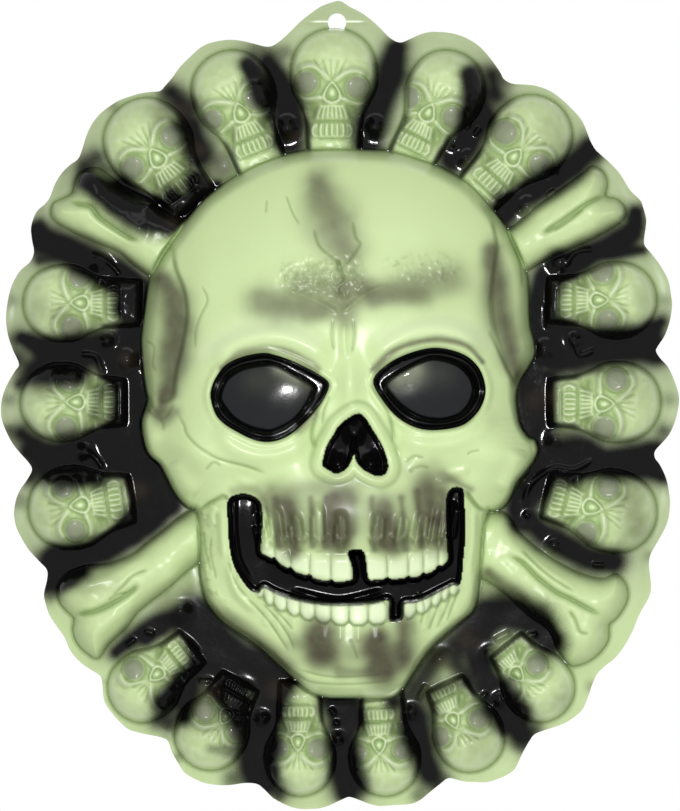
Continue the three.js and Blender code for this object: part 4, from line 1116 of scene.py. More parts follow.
def spray(layer, points, soft, strength, within=None):
    """A soft stroke through places with a radius each; noise frays its edge."""
    reach = max(p[2] for p in points) * SPRAY_REACH + soft
    if len(points) == 1:
        points = [points[0], (points[0][0] + 0.5, points[0][1], points[0][2])]
    block, away, share = near_line(points, reach)
    runs = np.hypot(*np.diff(np.array(points, float)[:, :2], axis=0).T)
    stops = np.concatenate([[0], np.cumsum(runs)]) / runs.sum()
    radius = np.interp(share, stops, [p[2] for p in points])
    frayed = np.clip(away + ripple[block] * soft * FRAY_SHARE, 0, None)
    power = 2 + 2 * np.clip(1 - soft / radius.clip(4), 0, 1)
    amount = strength * 0.5 ** ((frayed / radius) ** power)
    cover(layer, amount if within is None else amount * within[block], block)


print("a stroke reaches", SPRAY_REACH, "times its radius")

# %% [markdown]
# ## Strokes of soot at the top and on the right
# The black lies thickest between two small skulls and thins out towards the rim. On the right it
# runs from the bone down, close to the big skull.

# %% Soot at the top and right
SOOT_TOP = [
    ([(395, 51, 9), (392, 70, 14), (382, 95, 12), (371, 122, 14), (367, 142, 12)], 9, 0.98),
    ([(471, 76, 8), (475, 95, 12), (477, 115, 12)], 6, 0.97), ([(492, 76, 7), (496, 95, 8)], 13, 0.8),
    ([(479, 120, 10), (468, 140, 12), (454, 158, 11)], 8, 0.97),
    ([(590, 148, 9), (573, 165, 10), (552, 181, 11), (528, 195, 10), (508, 209, 8)], 10, 0.98),
    ([(505, 205, 10), (499, 222, 8)], 8, 0.95),
    ([(268, 62, 5), (277, 76, 8), (285, 95, 12), (289, 118, 15), (288, 140, 13)], 8, 0.98),
    ([(258, 50, 4), (274, 56, 6), (286, 52, 4)], 12, 0.25),
    ([(249, 66, 6), (257, 80, 9), (264, 96, 10)], 6, 0.95), ([(172, 93, 7), (186, 108, 9)], 14, 0.8),
    ([(190, 128, 10), (200, 155, 11)], 10, 0.93),
    ([(196, 180, 9), (200, 200, 12), (186, 216, 12)], 8, 0.97), ([(217, 186, 3), (207, 199, 9)], 6, 0.96),
    ([(96, 158, 6), (86, 166, 6)], 10, 0.55),
    ([(87, 181, 9), (105, 191, 13), (125, 204, 15), (145, 216, 15), (168, 223, 11)], 8, 0.98),
    ([(122, 184, 5), (136, 200, 7), (160, 212, 10)], 6, 0.97), ([(172, 196, 6), (182, 205, 7)], 8, 0.9),
]
SOOT_RIGHT = [
    ([(636, 213, 4), (633, 232, 10), (613, 244, 8), (588, 254, 8), (560, 270, 7)], 9, 0.98),
    ([(560, 262, 9), (545, 280, 9), (539, 310, 9), (543, 337, 11)], 8, 0.98),
    ([(656, 350, 9), (635, 347, 14), (610, 348, 14), (585, 350, 15), (560, 353, 17)], 9, 0.98),
    ([(545, 350, 14), (532, 362, 11), (530, 395, 13), (534, 425, 13), (545, 445, 12)], 7, 0.97),
    ([(654, 330, 6), (656, 350, 7)], 9, 0.9),
    ([(656, 457, 11), (632, 459, 13), (605, 460, 10), (580, 450, 13), (562, 456, 15)], 9, 0.98),
    ([(550, 462, 13), (536, 484, 16), (522, 502, 13), (522, 520, 9)], 8, 0.98),
    ([(522, 512, 7), (546, 535, 8), (570, 550, 9), (594, 560, 10), (612, 562, 8)], 10, 0.98),
    ([(549, 284, 6), (546, 318, 7)], 8, 0.95), ([(575, 260, 5), (605, 253, 5), (642, 250, 3)], 8, 0.75),
    ([(565, 332, 8), (600, 337, 6), (640, 336, 8), (661, 322, 5)], 9, 0.92),
    ([(575, 472, 9), (600, 468, 7), (640, 469, 8), (661, 476, 5)], 9, 0.92),
    ([(549, 378, 5), (549, 424, 5)], 6, 0.85),
]
print("strokes at the top", len(SOOT_TOP), "and on the right", len(SOOT_RIGHT))

# %% [markdown]
# ## Strokes of soot at the foot and on the left
# The black is broadest round the chin and the lower bones. On the left four bands run from the rim
# to the big skull.

# %% Soot at the foot and left
SOOT_FOOT = [
    ([(486, 612, 11), (509, 613, 15), (534, 621, 15), (550, 640, 11)], 12, 0.99),
    ([(480, 625, 12), (477, 650, 10), (484, 677, 10), (500, 698, 11), (512, 715, 11)], 10, 0.98),
    ([(512, 715, 11), (520, 732, 8)], 12, 0.9),
    ([(463, 640, 9), (457, 664, 6), (480, 690, 9), (488, 706, 9)], 12, 0.65),
    ([(452, 644, 8), (434, 660, 7), (420, 682, 8), (412, 700, 10), (414, 725, 11)], 10, 0.7),
    ([(393, 702, 6)], 7, 0.8), ([(414, 725, 12), (422, 750, 13), (429, 774, 9)], 10, 0.96),
    ([(334, 703, 10), (342, 722, 12), (342, 750, 10), (342, 775, 10), (346, 790, 8)], 8, 0.97),
    ([(350, 704, 8), (356, 718, 7)], 8, 0.85), ([(350, 765, 8), (356, 783, 7)], 8, 0.7),
    ([(116, 652, 5), (137, 636, 6), (157, 624, 8), (177, 619, 10), (196, 616, 11)], 9, 0.97),
    ([(195, 616, 16), (215, 640, 21), (235, 660, 21), (255, 668, 20), (280, 682, 14)], 9, 0.99),
    ([(199, 646, 9), (208, 664, 14), (225, 682, 14)], 8, 0.99),
    ([(166, 703, 9), (180, 689, 11), (196, 668, 7)], 7, 0.97), ([(160, 720, 6), (168, 724, 6)], 13, 0.6),
    ([(188, 692, 8), (184, 716, 6)], 9, 0.9), ([(228, 686, 13), (238, 706, 14), (248, 724, 13)], 8, 0.97),
    ([(254, 745, 11), (252, 765, 11), (256, 779, 7)], 10, 0.95),
    ([(272, 702, 14), (268, 725, 11), (266, 755, 10), (270, 778, 7)], 8, 0.97),
    ([(262, 784, 6), (278, 792, 5)], 10, 0.6), ([(146, 640, 4), (160, 629, 6)], 7, 0.85),
]
SOOT_LEFT = [
    ([(50, 577, 9), (71, 563, 11), (96, 551, 9), (121, 536, 8), (143, 520, 8)], 9, 0.98),
    ([(146, 524, 9), (166, 508, 8)], 8, 0.98), ([(50, 560, 8), (49, 578, 6)], 10, 0.9),
    ([(36, 230, 6), (48, 241, 9), (70, 250, 10), (92, 262, 10), (114, 277, 9)], 9, 0.98),
    ([(114, 276, 10), (138, 290, 9)], 8, 0.97),
    ([(122, 279, 9), (136, 293, 10), (140, 315, 11), (128, 334, 10)], 7, 0.98),
    ([(127, 308, 11), (136, 308, 11)], 7, 0.97), ([(85, 262, 7), (103, 272, 9)], 8, 0.9),
    ([(22, 338, 4), (45, 348, 10), (75, 352, 11), (105, 350, 16), (135, 355, 18)], 8, 0.99),
    ([(40, 372, 9), (58, 373, 10), (74, 372, 11)], 6, 0.97),
    ([(114, 372, 10), (124, 388, 11), (126, 404, 12), (120, 425, 11)], 9, 0.98),
    ([(138, 350, 10), (137, 380, 12), (136, 410, 12), (140, 440, 12)], 6, 0.98),
    ([(28, 452, 6), (50, 454, 10), (80, 452, 11), (110, 450, 19), (140, 460, 18)], 8, 0.99),
    ([(140, 460, 18), (158, 490, 14)], 8, 0.98), ([(50, 473, 9), (72, 471, 11), (96, 474, 11)], 8, 0.96),
    ([(142, 484, 13), (148, 503, 13), (130, 529, 9)], 8, 0.98), ([(150, 504, 12), (172, 504, 7)], 6, 0.98),
    ([(55, 556, 8), (80, 555, 7), (105, 548, 8), (130, 532, 9)], 8, 0.98),
    ([(40, 224, 3), (40, 245, 7)], 10, 0.45), ([(62, 586, 5), (82, 573, 6)], 9, 0.85),
    ([(40, 260, 3), (65, 255, 5)], 9, 0.6), ([(31, 372, 6), (20, 384, 4)], 10, 0.7),
    ([(22, 434, 7), (34, 444, 7)], 9, 0.85), ([(29, 476, 6)], 9, 0.7),
    ([(60, 436, 4), (90, 434, 5)], 8, 0.3),
]
print("strokes at the foot", len(SOOT_FOOT), "and on the left", len(SOOT_LEFT))

# %% [markdown]
# ## Laying the soot
# Each stroke is sprayed twice: as black, and wider and weaker as a grey mist round it. The big
# skull is masked off, and the mist mostly keeps off the bones and small skulls.

# %% Laying the soot
SOOT_EXTRA, MIST_EXTRA, MIST_SOFT, MIST_STRENGTH = 2, 9, 14, 0.26
not_skull = ease((2.5 - skull_inset) / 5)
on_bone = np.max([ease(edge / 8) for edge in bone_places.values()], axis=0)
on_small = np.max([ease(edge / 8) for edge in small_insets], axis=0)
misted = not_skull * (1 - 0.9 * on_bone) * (1 - 0.7 * on_small)
for points, soft, strength in SOOT_TOP + SOOT_RIGHT + SOOT_FOOT + SOOT_LEFT:
    wider = [(x, y, radius + SOOT_EXTRA) for x, y, radius in points]
    spray("soot", wider, soft, strength, not_skull)
    mist = [(x, y, radius + MIST_EXTRA) for x, y, radius in points]
    spray("smudge_and_shade", mist, soft + MIST_SOFT, MIST_STRENGTH * strength, misted)
print("black share", round(float(paint["soot"].mean()), 2))

# %% [markdown]
# ## Spray that spilled over
# Some black went over the sides of the small skulls, and a little is in most notches of the rim. A
# notch has a middle, a radius and a strength. The flanks of all the small jaws are darkened, partly
# by spilled black and partly as painted shade.

# %% Spilled spray
SPILLED = [
    ([(350, 722, 8), (353, 755, 7), (362, 788, 6)], 0.5), ([(411, 712, 7), (414, 745, 7)], 0.5),
    ([(430, 698, 7), (432, 720, 6)], 0.4), ([(494, 700, 8), (503, 730, 7)], 0.7),
    ([(444, 688, 7), (468, 682, 6)], 0.45), ([(503, 690, 8), (520, 722, 7)], 0.75),
    ([(262, 742, 10), (266, 776, 10)], 0.9), ([(277, 748, 8)], 0.5), ([(334, 738, 7), (335, 762, 5)], 0.45),
    ([(62, 484, 8), (82, 480, 8)], 0.6), ([(84, 439, 6), (106, 432, 8)], 0.5),
    ([(82, 266, 8), (99, 274, 9)], 0.8), ([(70, 343, 6), (98, 337, 8)], 0.5),
    ([(574, 268, 7), (590, 261, 6)], 0.65), ([(559, 284, 5), (556, 305, 5), (559, 326, 5)], 0.35),
    ([(580, 371, 6), (596, 366, 5)], 0.3), ([(580, 440, 6), (598, 445, 5)], 0.15),
    ([(562, 484, 6), (584, 472, 5)], 0.3), ([(556, 531, 6), (575, 547, 7)], 0.4),
    ([(187, 128, 8), (194, 160, 8)], 0.5), ([(550, 178, 7), (528, 187, 7)], 0.6),
    ([(268, 92, 7), (270, 116, 8)], 0.75), ([(466, 112, 6), (464, 126, 6)], 0.6),
    ([(212, 748, 5), (236, 752, 7)], 0.4), ([(104, 166, 6), (115, 173, 6)], 0.5),
    ([(296, 716, 5), (292, 730, 6)], 0.25), ([(96, 412, 5), (100, 392, 6)], 0.45),
    ([(40, 360, 7), (62, 362, 8)], 0.6),
]
SPILLED_SOFT, SPILLED_STRENGTH = 12, 0.8
FLANK_SOOT_AND_SHADE = 0.5
for points, strength in SPILLED:
    spray("soot", points, SPILLED_SOFT, strength * SPILLED_STRENGTH, not_skull)
# Painted shade as well as spilled black darkens the flanks of the small jaws.
for middle, radius, along, across, edge in small_places.values():
    forward = ((X - middle[0]) * along[0] + (Y - middle[1]) * along[1]) / radius
    flank = ease((7 - edge) / 5) * ease((edge + 1) / 2) * ease((forward - 0.95) / 0.3)
    cover("soot", FLANK_SOOT_AND_SHADE * flank * not_skull)
NOTCHES = [
    (400, 46, 6, 0.35), (503, 82, 7, 0.25), (597, 156, 8, 0.7), (643, 208, 6, 0.4), (646, 250, 5, 0.3),
    (657, 352, 8, 0.85), (655, 454, 10, 0.9), (650, 556, 5, 0.3), (592, 686, 5, 0.3), (526, 742, 10, 0.8),
    (440, 786, 9, 0.8), (350, 797, 8, 0.6), (262, 786, 9, 0.85), (176, 758, 5, 0.35), (102, 682, 4, 0.2),
    (46, 572, 9, 0.85), (31, 466, 9, 0.85), (15, 359, 10, 0.95), (50, 596, 7, 0.5), (33, 246, 7, 0.7),
    (38, 208, 5, 0.15), (82, 160, 7, 0.12), (164, 94, 8, 0.35), (8, 400, 6, 0.35), (8, 430, 6, 0.45),
    (12, 340, 6, 0.45), (12, 300, 6, 0.3), (20, 500, 6, 0.3), (664, 300, 6, 0.3), (668, 400, 6, 0.3),
    (666, 480, 6, 0.4), (60, 170, 5, 0.3), (112, 105, 5, 0.3), (233, 779, 9, 0.6), (534, 730, 8, 0.5),
    (418, 796, 8, 0.5), (664, 431, 8, 0.7),
]
NOTCH_SOFT, NOTCH_STRENGTH = 16, 0.7
for x, y, radius, strength in NOTCHES:
    spray("soot", [(x, y, radius)], NOTCH_SOFT, strength * NOTCH_STRENGTH, not_skull)
print("spilled strokes", len(SPILLED), "and spots along the rim", len(NOTCHES))

# %% [markdown]
# ## Smudges and painted shade on the upper face
# On the big skull the black was only misted on, so it shows as a brown-grey smudge. It has a layer
# of its own with its own colour, and the valleys are masked off. These lie on the forehead and the
# temples, round the eyes and on the cheeks; those along the sockets' rims are painted shade.

# %% Smudges and painted shade above
SMUDGES_AND_SHADE_ABOVE = [
    ([(317, 184, 12), (323, 200, 17), (333, 224, 20), (345, 248, 16)], 18, 0.5),
    ([(380, 290, 10), (410, 284, 14), (450, 277, 15)], 18, 0.37),
    ([(262, 300, 13), (285, 306, 12), (322, 312, 9)], 16, 0.42),
    ([(300, 287, 13), (340, 292, 16), (360, 288, 10)], 18, 0.33),
    ([(345, 292, 15), (344, 318, 9)], 16, 0.35), ([(375, 298, 8), (420, 296, 9)], 14, 0.34),
    ([(163, 398, 6), (163, 410, 6)], 8, 0.6),
    ([(164, 280, 8), (173, 300, 13), (176, 328, 15), (173, 358, 14), (168, 390, 9)], 12, 0.66),
    ([(492, 250, 8), (497, 290, 11), (504, 322, 12), (511, 352, 11), (517, 378, 7)], 14, 0.66),
    ([(409, 470, 7), (435, 466, 8)], 12, 0.12),
    ([(156, 286, 6), (154, 330, 7), (155, 370, 7), (157, 394, 5)], 10, 0.12),
    # Painted shade: the left socket's inner corner, a spot below that socket and the arcs over both.
    ([(309, 384, 3), (321, 384, 3)], 6, 0.55), ([(150, 408, 5), (163, 420, 6), (176, 412, 5)], 8, 0.35),
    ([(297, 429, 4), (313, 415, 4)], 6, 0.4),
    ([(222, 368, 2), (240, 354, 3), (265, 349, 3), (290, 353, 3), (318, 369, 3)], 5, 0.35),
    ([(374, 370, 3), (392, 352, 3), (415, 343, 3), (440, 340, 3), (466, 346, 3), (482, 362, 2)], 5, 0.5),
]
print("smudges above", len(SMUDGES_AND_SHADE_ABOVE))

# %% [markdown]
# ## Smudges on both jaws
# Dark streaks lie between the roots of the upper teeth and over both ends of the row. Two round
# blots sit on the chin.

# %% Smudges on both jaws
SMUDGES_JAW = [
    ([(289, 505, 8), (292, 530, 11), (293, 550, 8)], 10, 0.66), ([(335, 498, 7), (335, 537, 11)], 9, 0.82),
    ([(262, 500, 5), (277, 520, 6), (282, 545, 5)], 9, 0.16), ([(352, 500, 5), (352, 530, 6)], 9, 0.2),
    ([(383, 508, 9), (389, 540, 11)], 10, 0.74),
    ([(426, 486, 10), (430, 515, 15), (430, 538, 11)], 14, 0.52),
    ([(275, 492, 8), (310, 487, 9), (352, 488, 9)], 14, 0.24),
    ([(345, 492, 7), (346, 520, 8), (345, 542, 7)], 10, 0.45),
    ([(443, 492, 6), (444, 520, 7), (443, 545, 6)], 8, 0.5), ([(276, 500, 3), (279, 545, 3)], 5, 0.4),
    ([(311, 498, 2.5), (312, 545, 3)], 5, 0.4), ([(327, 498, 3), (326, 545, 3)], 5, 0.45),
    ([(372, 498, 3), (374, 548, 3)], 5, 0.4), ([(401, 498, 3), (406, 548, 3)], 5, 0.4),
    ([(417, 492, 3), (421, 545, 3)], 5, 0.45), ([(272, 505, 12), (330, 518, 24), (400, 515, 24)], 24, 0.22),
    ([(430, 492, 5), (436, 520, 6)], 10, 0.35), ([(234, 491, 4), (256, 489, 5)], 9, 0.22),
    ([(446, 477, 5), (457, 482, 5), (470, 489, 4)], 9, 0.45),
]
SMUDGES_CHIN = [
    ([(320, 634, 13), (321, 652, 14)], 9, 0.8), ([(378, 640, 12), (381, 667, 15)], 10, 0.78),
    ([(404, 625, 9), (402, 655, 11)], 12, 0.62), ([(340, 671, 5), (385, 671, 5)], 8, 0.3),
    ([(260, 646, 6), (282, 662, 8), (298, 676, 5)], 9, 0.3),
    ([(296, 642, 9), (350, 648, 12), (400, 644, 9)], 16, 0.3),
    ([(206, 606, 6), (232, 624, 9), (258, 645, 9), (284, 668, 8)], 12, 0.4),
]
for points, soft, strength in SMUDGES_AND_SHADE_ABOVE + SMUDGES_JAW + SMUDGES_CHIN:
    spray("smudge_and_shade", points, soft, strength, on_skull)
print("smudge share", round(float(paint["smudge_and_shade"].mean()), 2))

# %% [markdown]
# ## Shades on the small skulls and bones
# A faint grey lies on the crowns of some small skulls and along two bones.

# %% Shades
SHADES = [
    ([(630, 500, 14), (634, 528, 14)], 16, 0.5), ([(546, 134, 13), (560, 146, 11)], 14, 0.26),
    ([(42, 308, 11), (66, 318, 9)], 14, 0.26), ([(42, 387, 10)], 12, 0.65), ([(208, 724, 12)], 12, 0.3),
    ([(476, 744, 13)], 12, 0.26), ([(104, 576, 13), (84, 588, 9)], 14, 0.26), ([(610, 230, 11)], 12, 0.26),
    ([(160, 112, 12)], 12, 0.45), ([(640, 300, 12)], 12, 0.2), ([(632, 396, 14)], 14, 0.2),
    ([(50, 512, 12)], 12, 0.2), ([(560, 700, 10)], 12, 0.2),
]
SHADE_STRENGTH = 0.6
RIGHT_BONE_SHADE = [(488, 572, 5), (508, 586, 6), (524, 600, 5)]
LEFT_BONE_SHADE = [(190, 590, 6), (176, 598, 8), (160, 606, 8)]
for points, soft, strength in SHADES:
    spray("smudge_and_shade", points, soft, strength * SHADE_STRENGTH, not_skull)
spray("smudge_and_shade", RIGHT_BONE_SHADE, 8, 0.4, not_skull)
spray("smudge_and_shade", LEFT_BONE_SHADE, 12, 0.15, misted)
print("shades", len(SHADES) + 2)

# %% [markdown]
# ## Amber spots, bare glaze and painted reflections
# Where the black is thin a brownish amber shines through. Where there is no green the sheet is
# smoky, in a pocket and at a spot. The eye domes get a painted reflection and a painted highlight.

# %% Amber, glaze and painted reflections
AMBER_SPOTS = [
    (126, 359, 7), (172, 222, 6), (208, 694, 9), (440, 660, 8), (465, 640, 8), (294, 137, 5), (140, 490, 7),
    (533, 400, 8), (552, 396, 8), (185, 110, 9), (200, 150, 7), (275, 690, 8),
]
on_left_dome, on_right_dome = ease(left_dome / 4), ease(right_dome / 4)
GLAZE_AND_DOME_REFLECTION = [
    ([(224, 165, 11)], 6, 0.9, None),
    ([(302, 108, 7)], 8, 0.6, None),
    # Painted reflection on the domes: a faint wide haze, then a pale painted highlight near the top.
    ([(256, 380, 12), (292, 384, 12)], 14, 0.09, on_left_dome),
    ([(280, 368, 6), (297, 374, 8)], 8, 0.9, on_left_dome),
    ([(402, 377, 10), (440, 374, 12)], 14, 0.09, on_right_dome),
    ([(400, 377, 9), (414, 370, 10)], 9, 0.9, on_right_dome),
]
for x, y, radius in AMBER_SPOTS:
    spray("amber", [(x, y, radius)], 12, 0.3)
for row in GLAZE_AND_DOME_REFLECTION:
    spray("glaze_and_reflection", *row)
print("amber spots", len(AMBER_SPOTS))

# %% [markdown]
# ## Painted shade along the edges
# Olive painted shade lies where a form meets the sheet, round the nose and the sockets, and between
# the teeth. A soft band at an inset draws such a line all the way round, with no points of its own.

# %% Painted shade along the edges
SMALL_EDGE_SHADE, SKULL_EDGE_SHADE, CHIN_EDGE_SHARE = 0.18, 0.5, 0.3
NOSE_LINE_SHADE, SOCKET_SHADE = 0.5, 0.35
UPPER_GAP_SHADE, LOWER_GAP_SHADE, BEAD_SHADE = 0.45, 0.6, 0.55
CHIN_RIM_Y = 670
for edge in [*bone_places.values(), *small_insets]:
    cover("shaded_crease", SMALL_EDGE_SHADE * band(edge, -0.4, 1.3) * clear_of_skull)
chin_share = 1 - (1 - CHIN_EDGE_SHARE) * ease((Y - CHIN_RIM_Y) / 15)
cover("shaded_crease", SKULL_EDGE_SHADE * band(skull_inset, 0, 2.1) * chin_share)
cover("shaded_crease", NOSE_LINE_SHADE * band(nose_inset, -12, 2.5) * (nose_inset < 0))
for socket in (left_socket, right_socket):
    cover("shaded_crease", SOCKET_SHADE * ease((socket + 4) / 4) * (socket < 0))
cover("shaded_crease", UPPER_GAP_SHADE * band(upper_gap, 0, 1.3) * (upper_teeth_inset > 4))
cover("shaded_crease", LOWER_GAP_SHADE * band(lower_gap, 0, 1.2) * (lower_teeth_inset > 1))
cover("shaded_crease", BEAD_SHADE * band(beads, 0, 1.6) * (mouth_inset < -4))
print("olive share", round(float(paint["shaded_crease"].mean()), 2))

# %% [markdown]
# ## Black in the openings
# The nose, the mouth and the eyes' grooves are solid black with a sharp edge, wiped thinner along
# the lip. A power makes the middles of all strokes solid and keeps their edges soft.

# %% Black in the openings
SPRAY_POWER, SOOT_GAIN = 2.2, 1.02
TEETH_SOOT, WIPED_SHARE = 0.06, 0.4
for opening in (nose_inset, mouth_inset):
    cover("soot", 1.0 * (opening > -0.4))
for socket, dome in ((left_socket, left_dome), (right_socket, right_dome)):
    cover("soot", ease((socket + 0.1) / 2) * ease((1.0 - dome) / 2.5))
cover("soot", TEETH_SOOT * (lower_teeth_inset > 0) * ease((mouth_inset + 6) / 6))
for layer in ("soot", "smudge_and_shade"):
    paint[layer] = 1 - (1 - paint[layer]) ** SPRAY_POWER
paint["soot"] = np.clip(paint["soot"] * SOOT_GAIN, 0, 1)
lip = ease((3.5 - mouth_inset) / 4) * (mouth_inset > -0.4) * (lower_teeth_inset > 0)
paint["soot"] *= 1 - WIPED_SHARE * lip
print("black share", round(float(paint["soot"].mean()), 2))

# %% [markdown]
# ## Pale teeth, painted highlights, thin green and painted shade in hollows
# The teeth are paler, as if sprayed twice, and the brows get a painted highlight; on the flange the
# green is thin. Last, the form itself says where to paint: a place lower than its surroundings gets
# painted shade, and one that stands out on a small skull gets a painted highlight.

# %% Pale teeth, painted highlights, flange and painted shade in hollows
LEFT_BROW_HIGHLIGHT = [(205, 352, 7), (240, 331, 10), (285, 329, 9), (315, 342, 6)]
RIGHT_BROW_HIGHLIGHT = [(380, 338, 7), (420, 326, 10), (465, 330, 10), (488, 345, 7)]
FLANGE_GLAZE, FOOT_LESS_GLAZE, LEFT_MORE_GLAZE = 0.42, 0.3, 0.12
HOLLOW_SHADE, STANDING_HIGHLIGHT = 0.46, 0.75
# Painted highlight on both brows.
for coat in (LEFT_BROW_HIGHLIGHT, RIGHT_BROW_HIGHLIGHT):
    spray("enamel_and_highlight", coat, 14, 0.4)
paint["enamel_and_highlight"] += ease((upper_teeth_inset - 1) / 13) + ease((beads + 2) / 5)
paint["enamel_and_highlight"] = np.clip(paint["enamel_and_highlight"], 0, 1) * ease(skull_inset / 4)
highest_inset = np.max([skull_inset, *bone_places.values(), *small_insets], axis=0)
flange = ease((1 - highest_inset) / 3)
at_left = ease((200 - X) / 150) * ease((560 - Y) / 60)
thin = FLANGE_GLAZE - FOOT_LESS_GLAZE * ease((Y - 540) / 90) + LEFT_MORE_GLAZE * at_left
cover("glaze_and_reflection", thin * flange)
hollow = blur(height, 2.6) - height
# Painted shade in the form's hollows, and a painted highlight on what stands out on small skulls.
cover("shaded_crease", HOLLOW_SHADE * ease((hollow - 0.06) / 0.8) * ease(plaque_inset / 3))
cover("enamel_and_highlight", STANDING_HIGHLIGHT * ease((-hollow - 0.04) / 0.6) * on_small)
print("paint layers", {layer: round(float(field.mean()), 3) for layer, field in paint.items()})

# %% [markdown]
# ## Pieces
# The sheet is one thing, so a piece is a region of it, cut along the crease where a form meets its
# neighbour. Where outlines overlap, the piece named first keeps the place, so neighbours meet along
# the same line and nothing gapes.

# %% Levels of the pieces
HOLE_RADIUS = 9.17
hole_inset = HOLE_RADIUS - np.hypot(X - HOLE_X, Y - HOLE_Y)
levels = {
    "left_eye_dome": left_socket,
    "right_eye_dome": right_socket,
    "nose_recess": nose_inset,
    "mouth_recess": mouth_inset,
    "upper_teeth": upper_teeth_inset,
    "lower_teeth": lower_teeth_inset,
    "lower_jaw": np.minimum(skull_inset, jaw_inset),
    "cranium": skull_inset,
    **bone_places,
    **dict(zip(small_places, small_insets)),
    "backing_sheet": np.minimum(plaque_inset, -hole_inset),
}
taken = np.full(X.shape, -INSET_REACH)
for name, level in levels.items():
    levels[name] = np.minimum(level, -taken)
    taken = np.maximum(taken, level)
print(len(levels), "pieces")

# %% [markdown]
# ## Front and back of the sheet
# The back lies a millimetre behind the front, measured across the sheet, and never behind the wall.
# So the raised forms are hollow, as the real ones are.

# %% Front and back
LAST_BLUR, LEAST_SHARE, MOST_DEPTH = 0.6, 0.6, 3
height = np.maximum(blur(height, LAST_BLUR), SHEET * LEAST_SHARE)
slope_y, slope_x = np.gradient(height, STEP * MM)
steepness = np.hypot(1, np.hypot(slope_x, slope_y))
back = np.maximum(height - np.clip(SHEET * steepness, 0, MOST_DEPTH), 0)
back_slope_y, back_slope_x = np.gradient(back, STEP * MM)
print("front up to", round(float(height.max()), 1), "mm and back", round(float(back.max()), 1), "mm")

# %% [markdown]
# ## Where the back can be coarse
# The back hangs against the wall and has no paint. Where it is nearly flat, one face can stand for
# sixteen, which keeps the mesh light. A block passes if the flat face stays close to the real back.

# %% Gentle blocks
BLOCK = 4
GENTLE = 0.2


def gentle_blocks():
    """Blocks of cells where the back is so nearly flat that one face can stand for sixteen."""
    rows, columns = ((n - 1) // BLOCK for n in back.shape)
    corner = back[: rows * BLOCK + 1 : BLOCK, : columns * BLOCK + 1 : BLOCK]
    worst = np.zeros((rows, columns))
    for r in range(BLOCK + 1):
        for c in range(BLOCK + 1):
            s, t = r / BLOCK, c / BLOCK
            flat = (1 - s) * ((1 - t) * corner[:-1, :-1] + t * corner[:-1, 1:])
            flat = flat + s * ((1 - t) * corner[1:, :-1] + t * corner[1:, 1:])
            real = back[r : r + rows * BLOCK : BLOCK, c : c + columns * BLOCK : BLOCK]
            worst = np.maximum(worst, np.abs(real - flat))
    return worst < GENTLE


gentle = gentle_blocks()
print("gentle blocks", round(float(gentle.mean()), 2))

# %% [markdown]
# ## Cutting a piece from the grid
# Whole cells become squares. A cell on the piece's edge is clipped where its level crosses zero, and
# the neighbour clips the same cell at the same places, so both edges are one line.

# %% Clipped cells
NODE_MARGIN = 0.04


def at_nodes(field, nodes, crossings):
    """A field's values at whole nodes and, between two nodes, at the crossings."""
    first, second, share = crossings
    flat = field.ravel()
    between = flat[first] * (1 - share) + flat[second] * share
    return np.concatenate([flat[nodes], between])


def clip_cells(level):
    """The node ids, nodes, crossings, whole cells, clipped cells and edges of one level."""
    inside = level > 0
    columns = level.shape[1]
    corners = [inside[:-1, :-1], inside[1:, :-1], inside[1:, 1:], inside[:-1, 1:]]
    count = sum(c.astype(int) for c in corners)
    nodes = np.nonzero(inside.ravel())[0]
    ids = np.full(level.size, -1)
    ids[nodes] = np.arange(len(nodes))
    crossings, crossing_ids = [], {}
    polygons, edges = [], []
    flat, inside_flat = level.ravel(), inside.ravel()
    for r, c in zip(*np.nonzero((count > 0) & (count < 4))):
        above, below = r * columns + c, (r + 1) * columns + c
        walk = [above, below, below + 1, above + 1]
        polygon, out = [], []
        for this, after in zip(walk, walk[1:] + walk[:1]):
            if inside_flat[this]:
                polygon.append(ids[this])
            if inside_flat[this] != inside_flat[after]:
                key = (min(this, after), max(this, after))
                if key not in crossing_ids:
                    crossing_ids[key] = len(nodes) + len(crossings)
                    share = flat[key[0]] / (flat[key[0]] - flat[key[1]])
                    crossings.append((*key, min(max(share, NODE_MARGIN), 1 - NODE_MARGIN)))
                polygon.append(crossing_ids[key])
                out.append((inside_flat[this], len(polygon) - 1))
        polygons.append(polygon)
        for leaves, place in out:
            if leaves:
                edges.append((polygon[place], polygon[(place + 1) % len(polygon)]))
    first, second, share = np.array(crossings).T
    met = (first.astype(int), second.astype(int), share)
    return ids.reshape(level.shape), nodes, met, count == 4, polygons, np.array(edges)


print("cells can be clipped")

# %% [markdown]
# ## Faces of the back
# A coarse face beside fine ones needs their nodes along that side too, or the sheet would gape. So
# there are sixteen patterns, one for each choice of sides with fine neighbours.

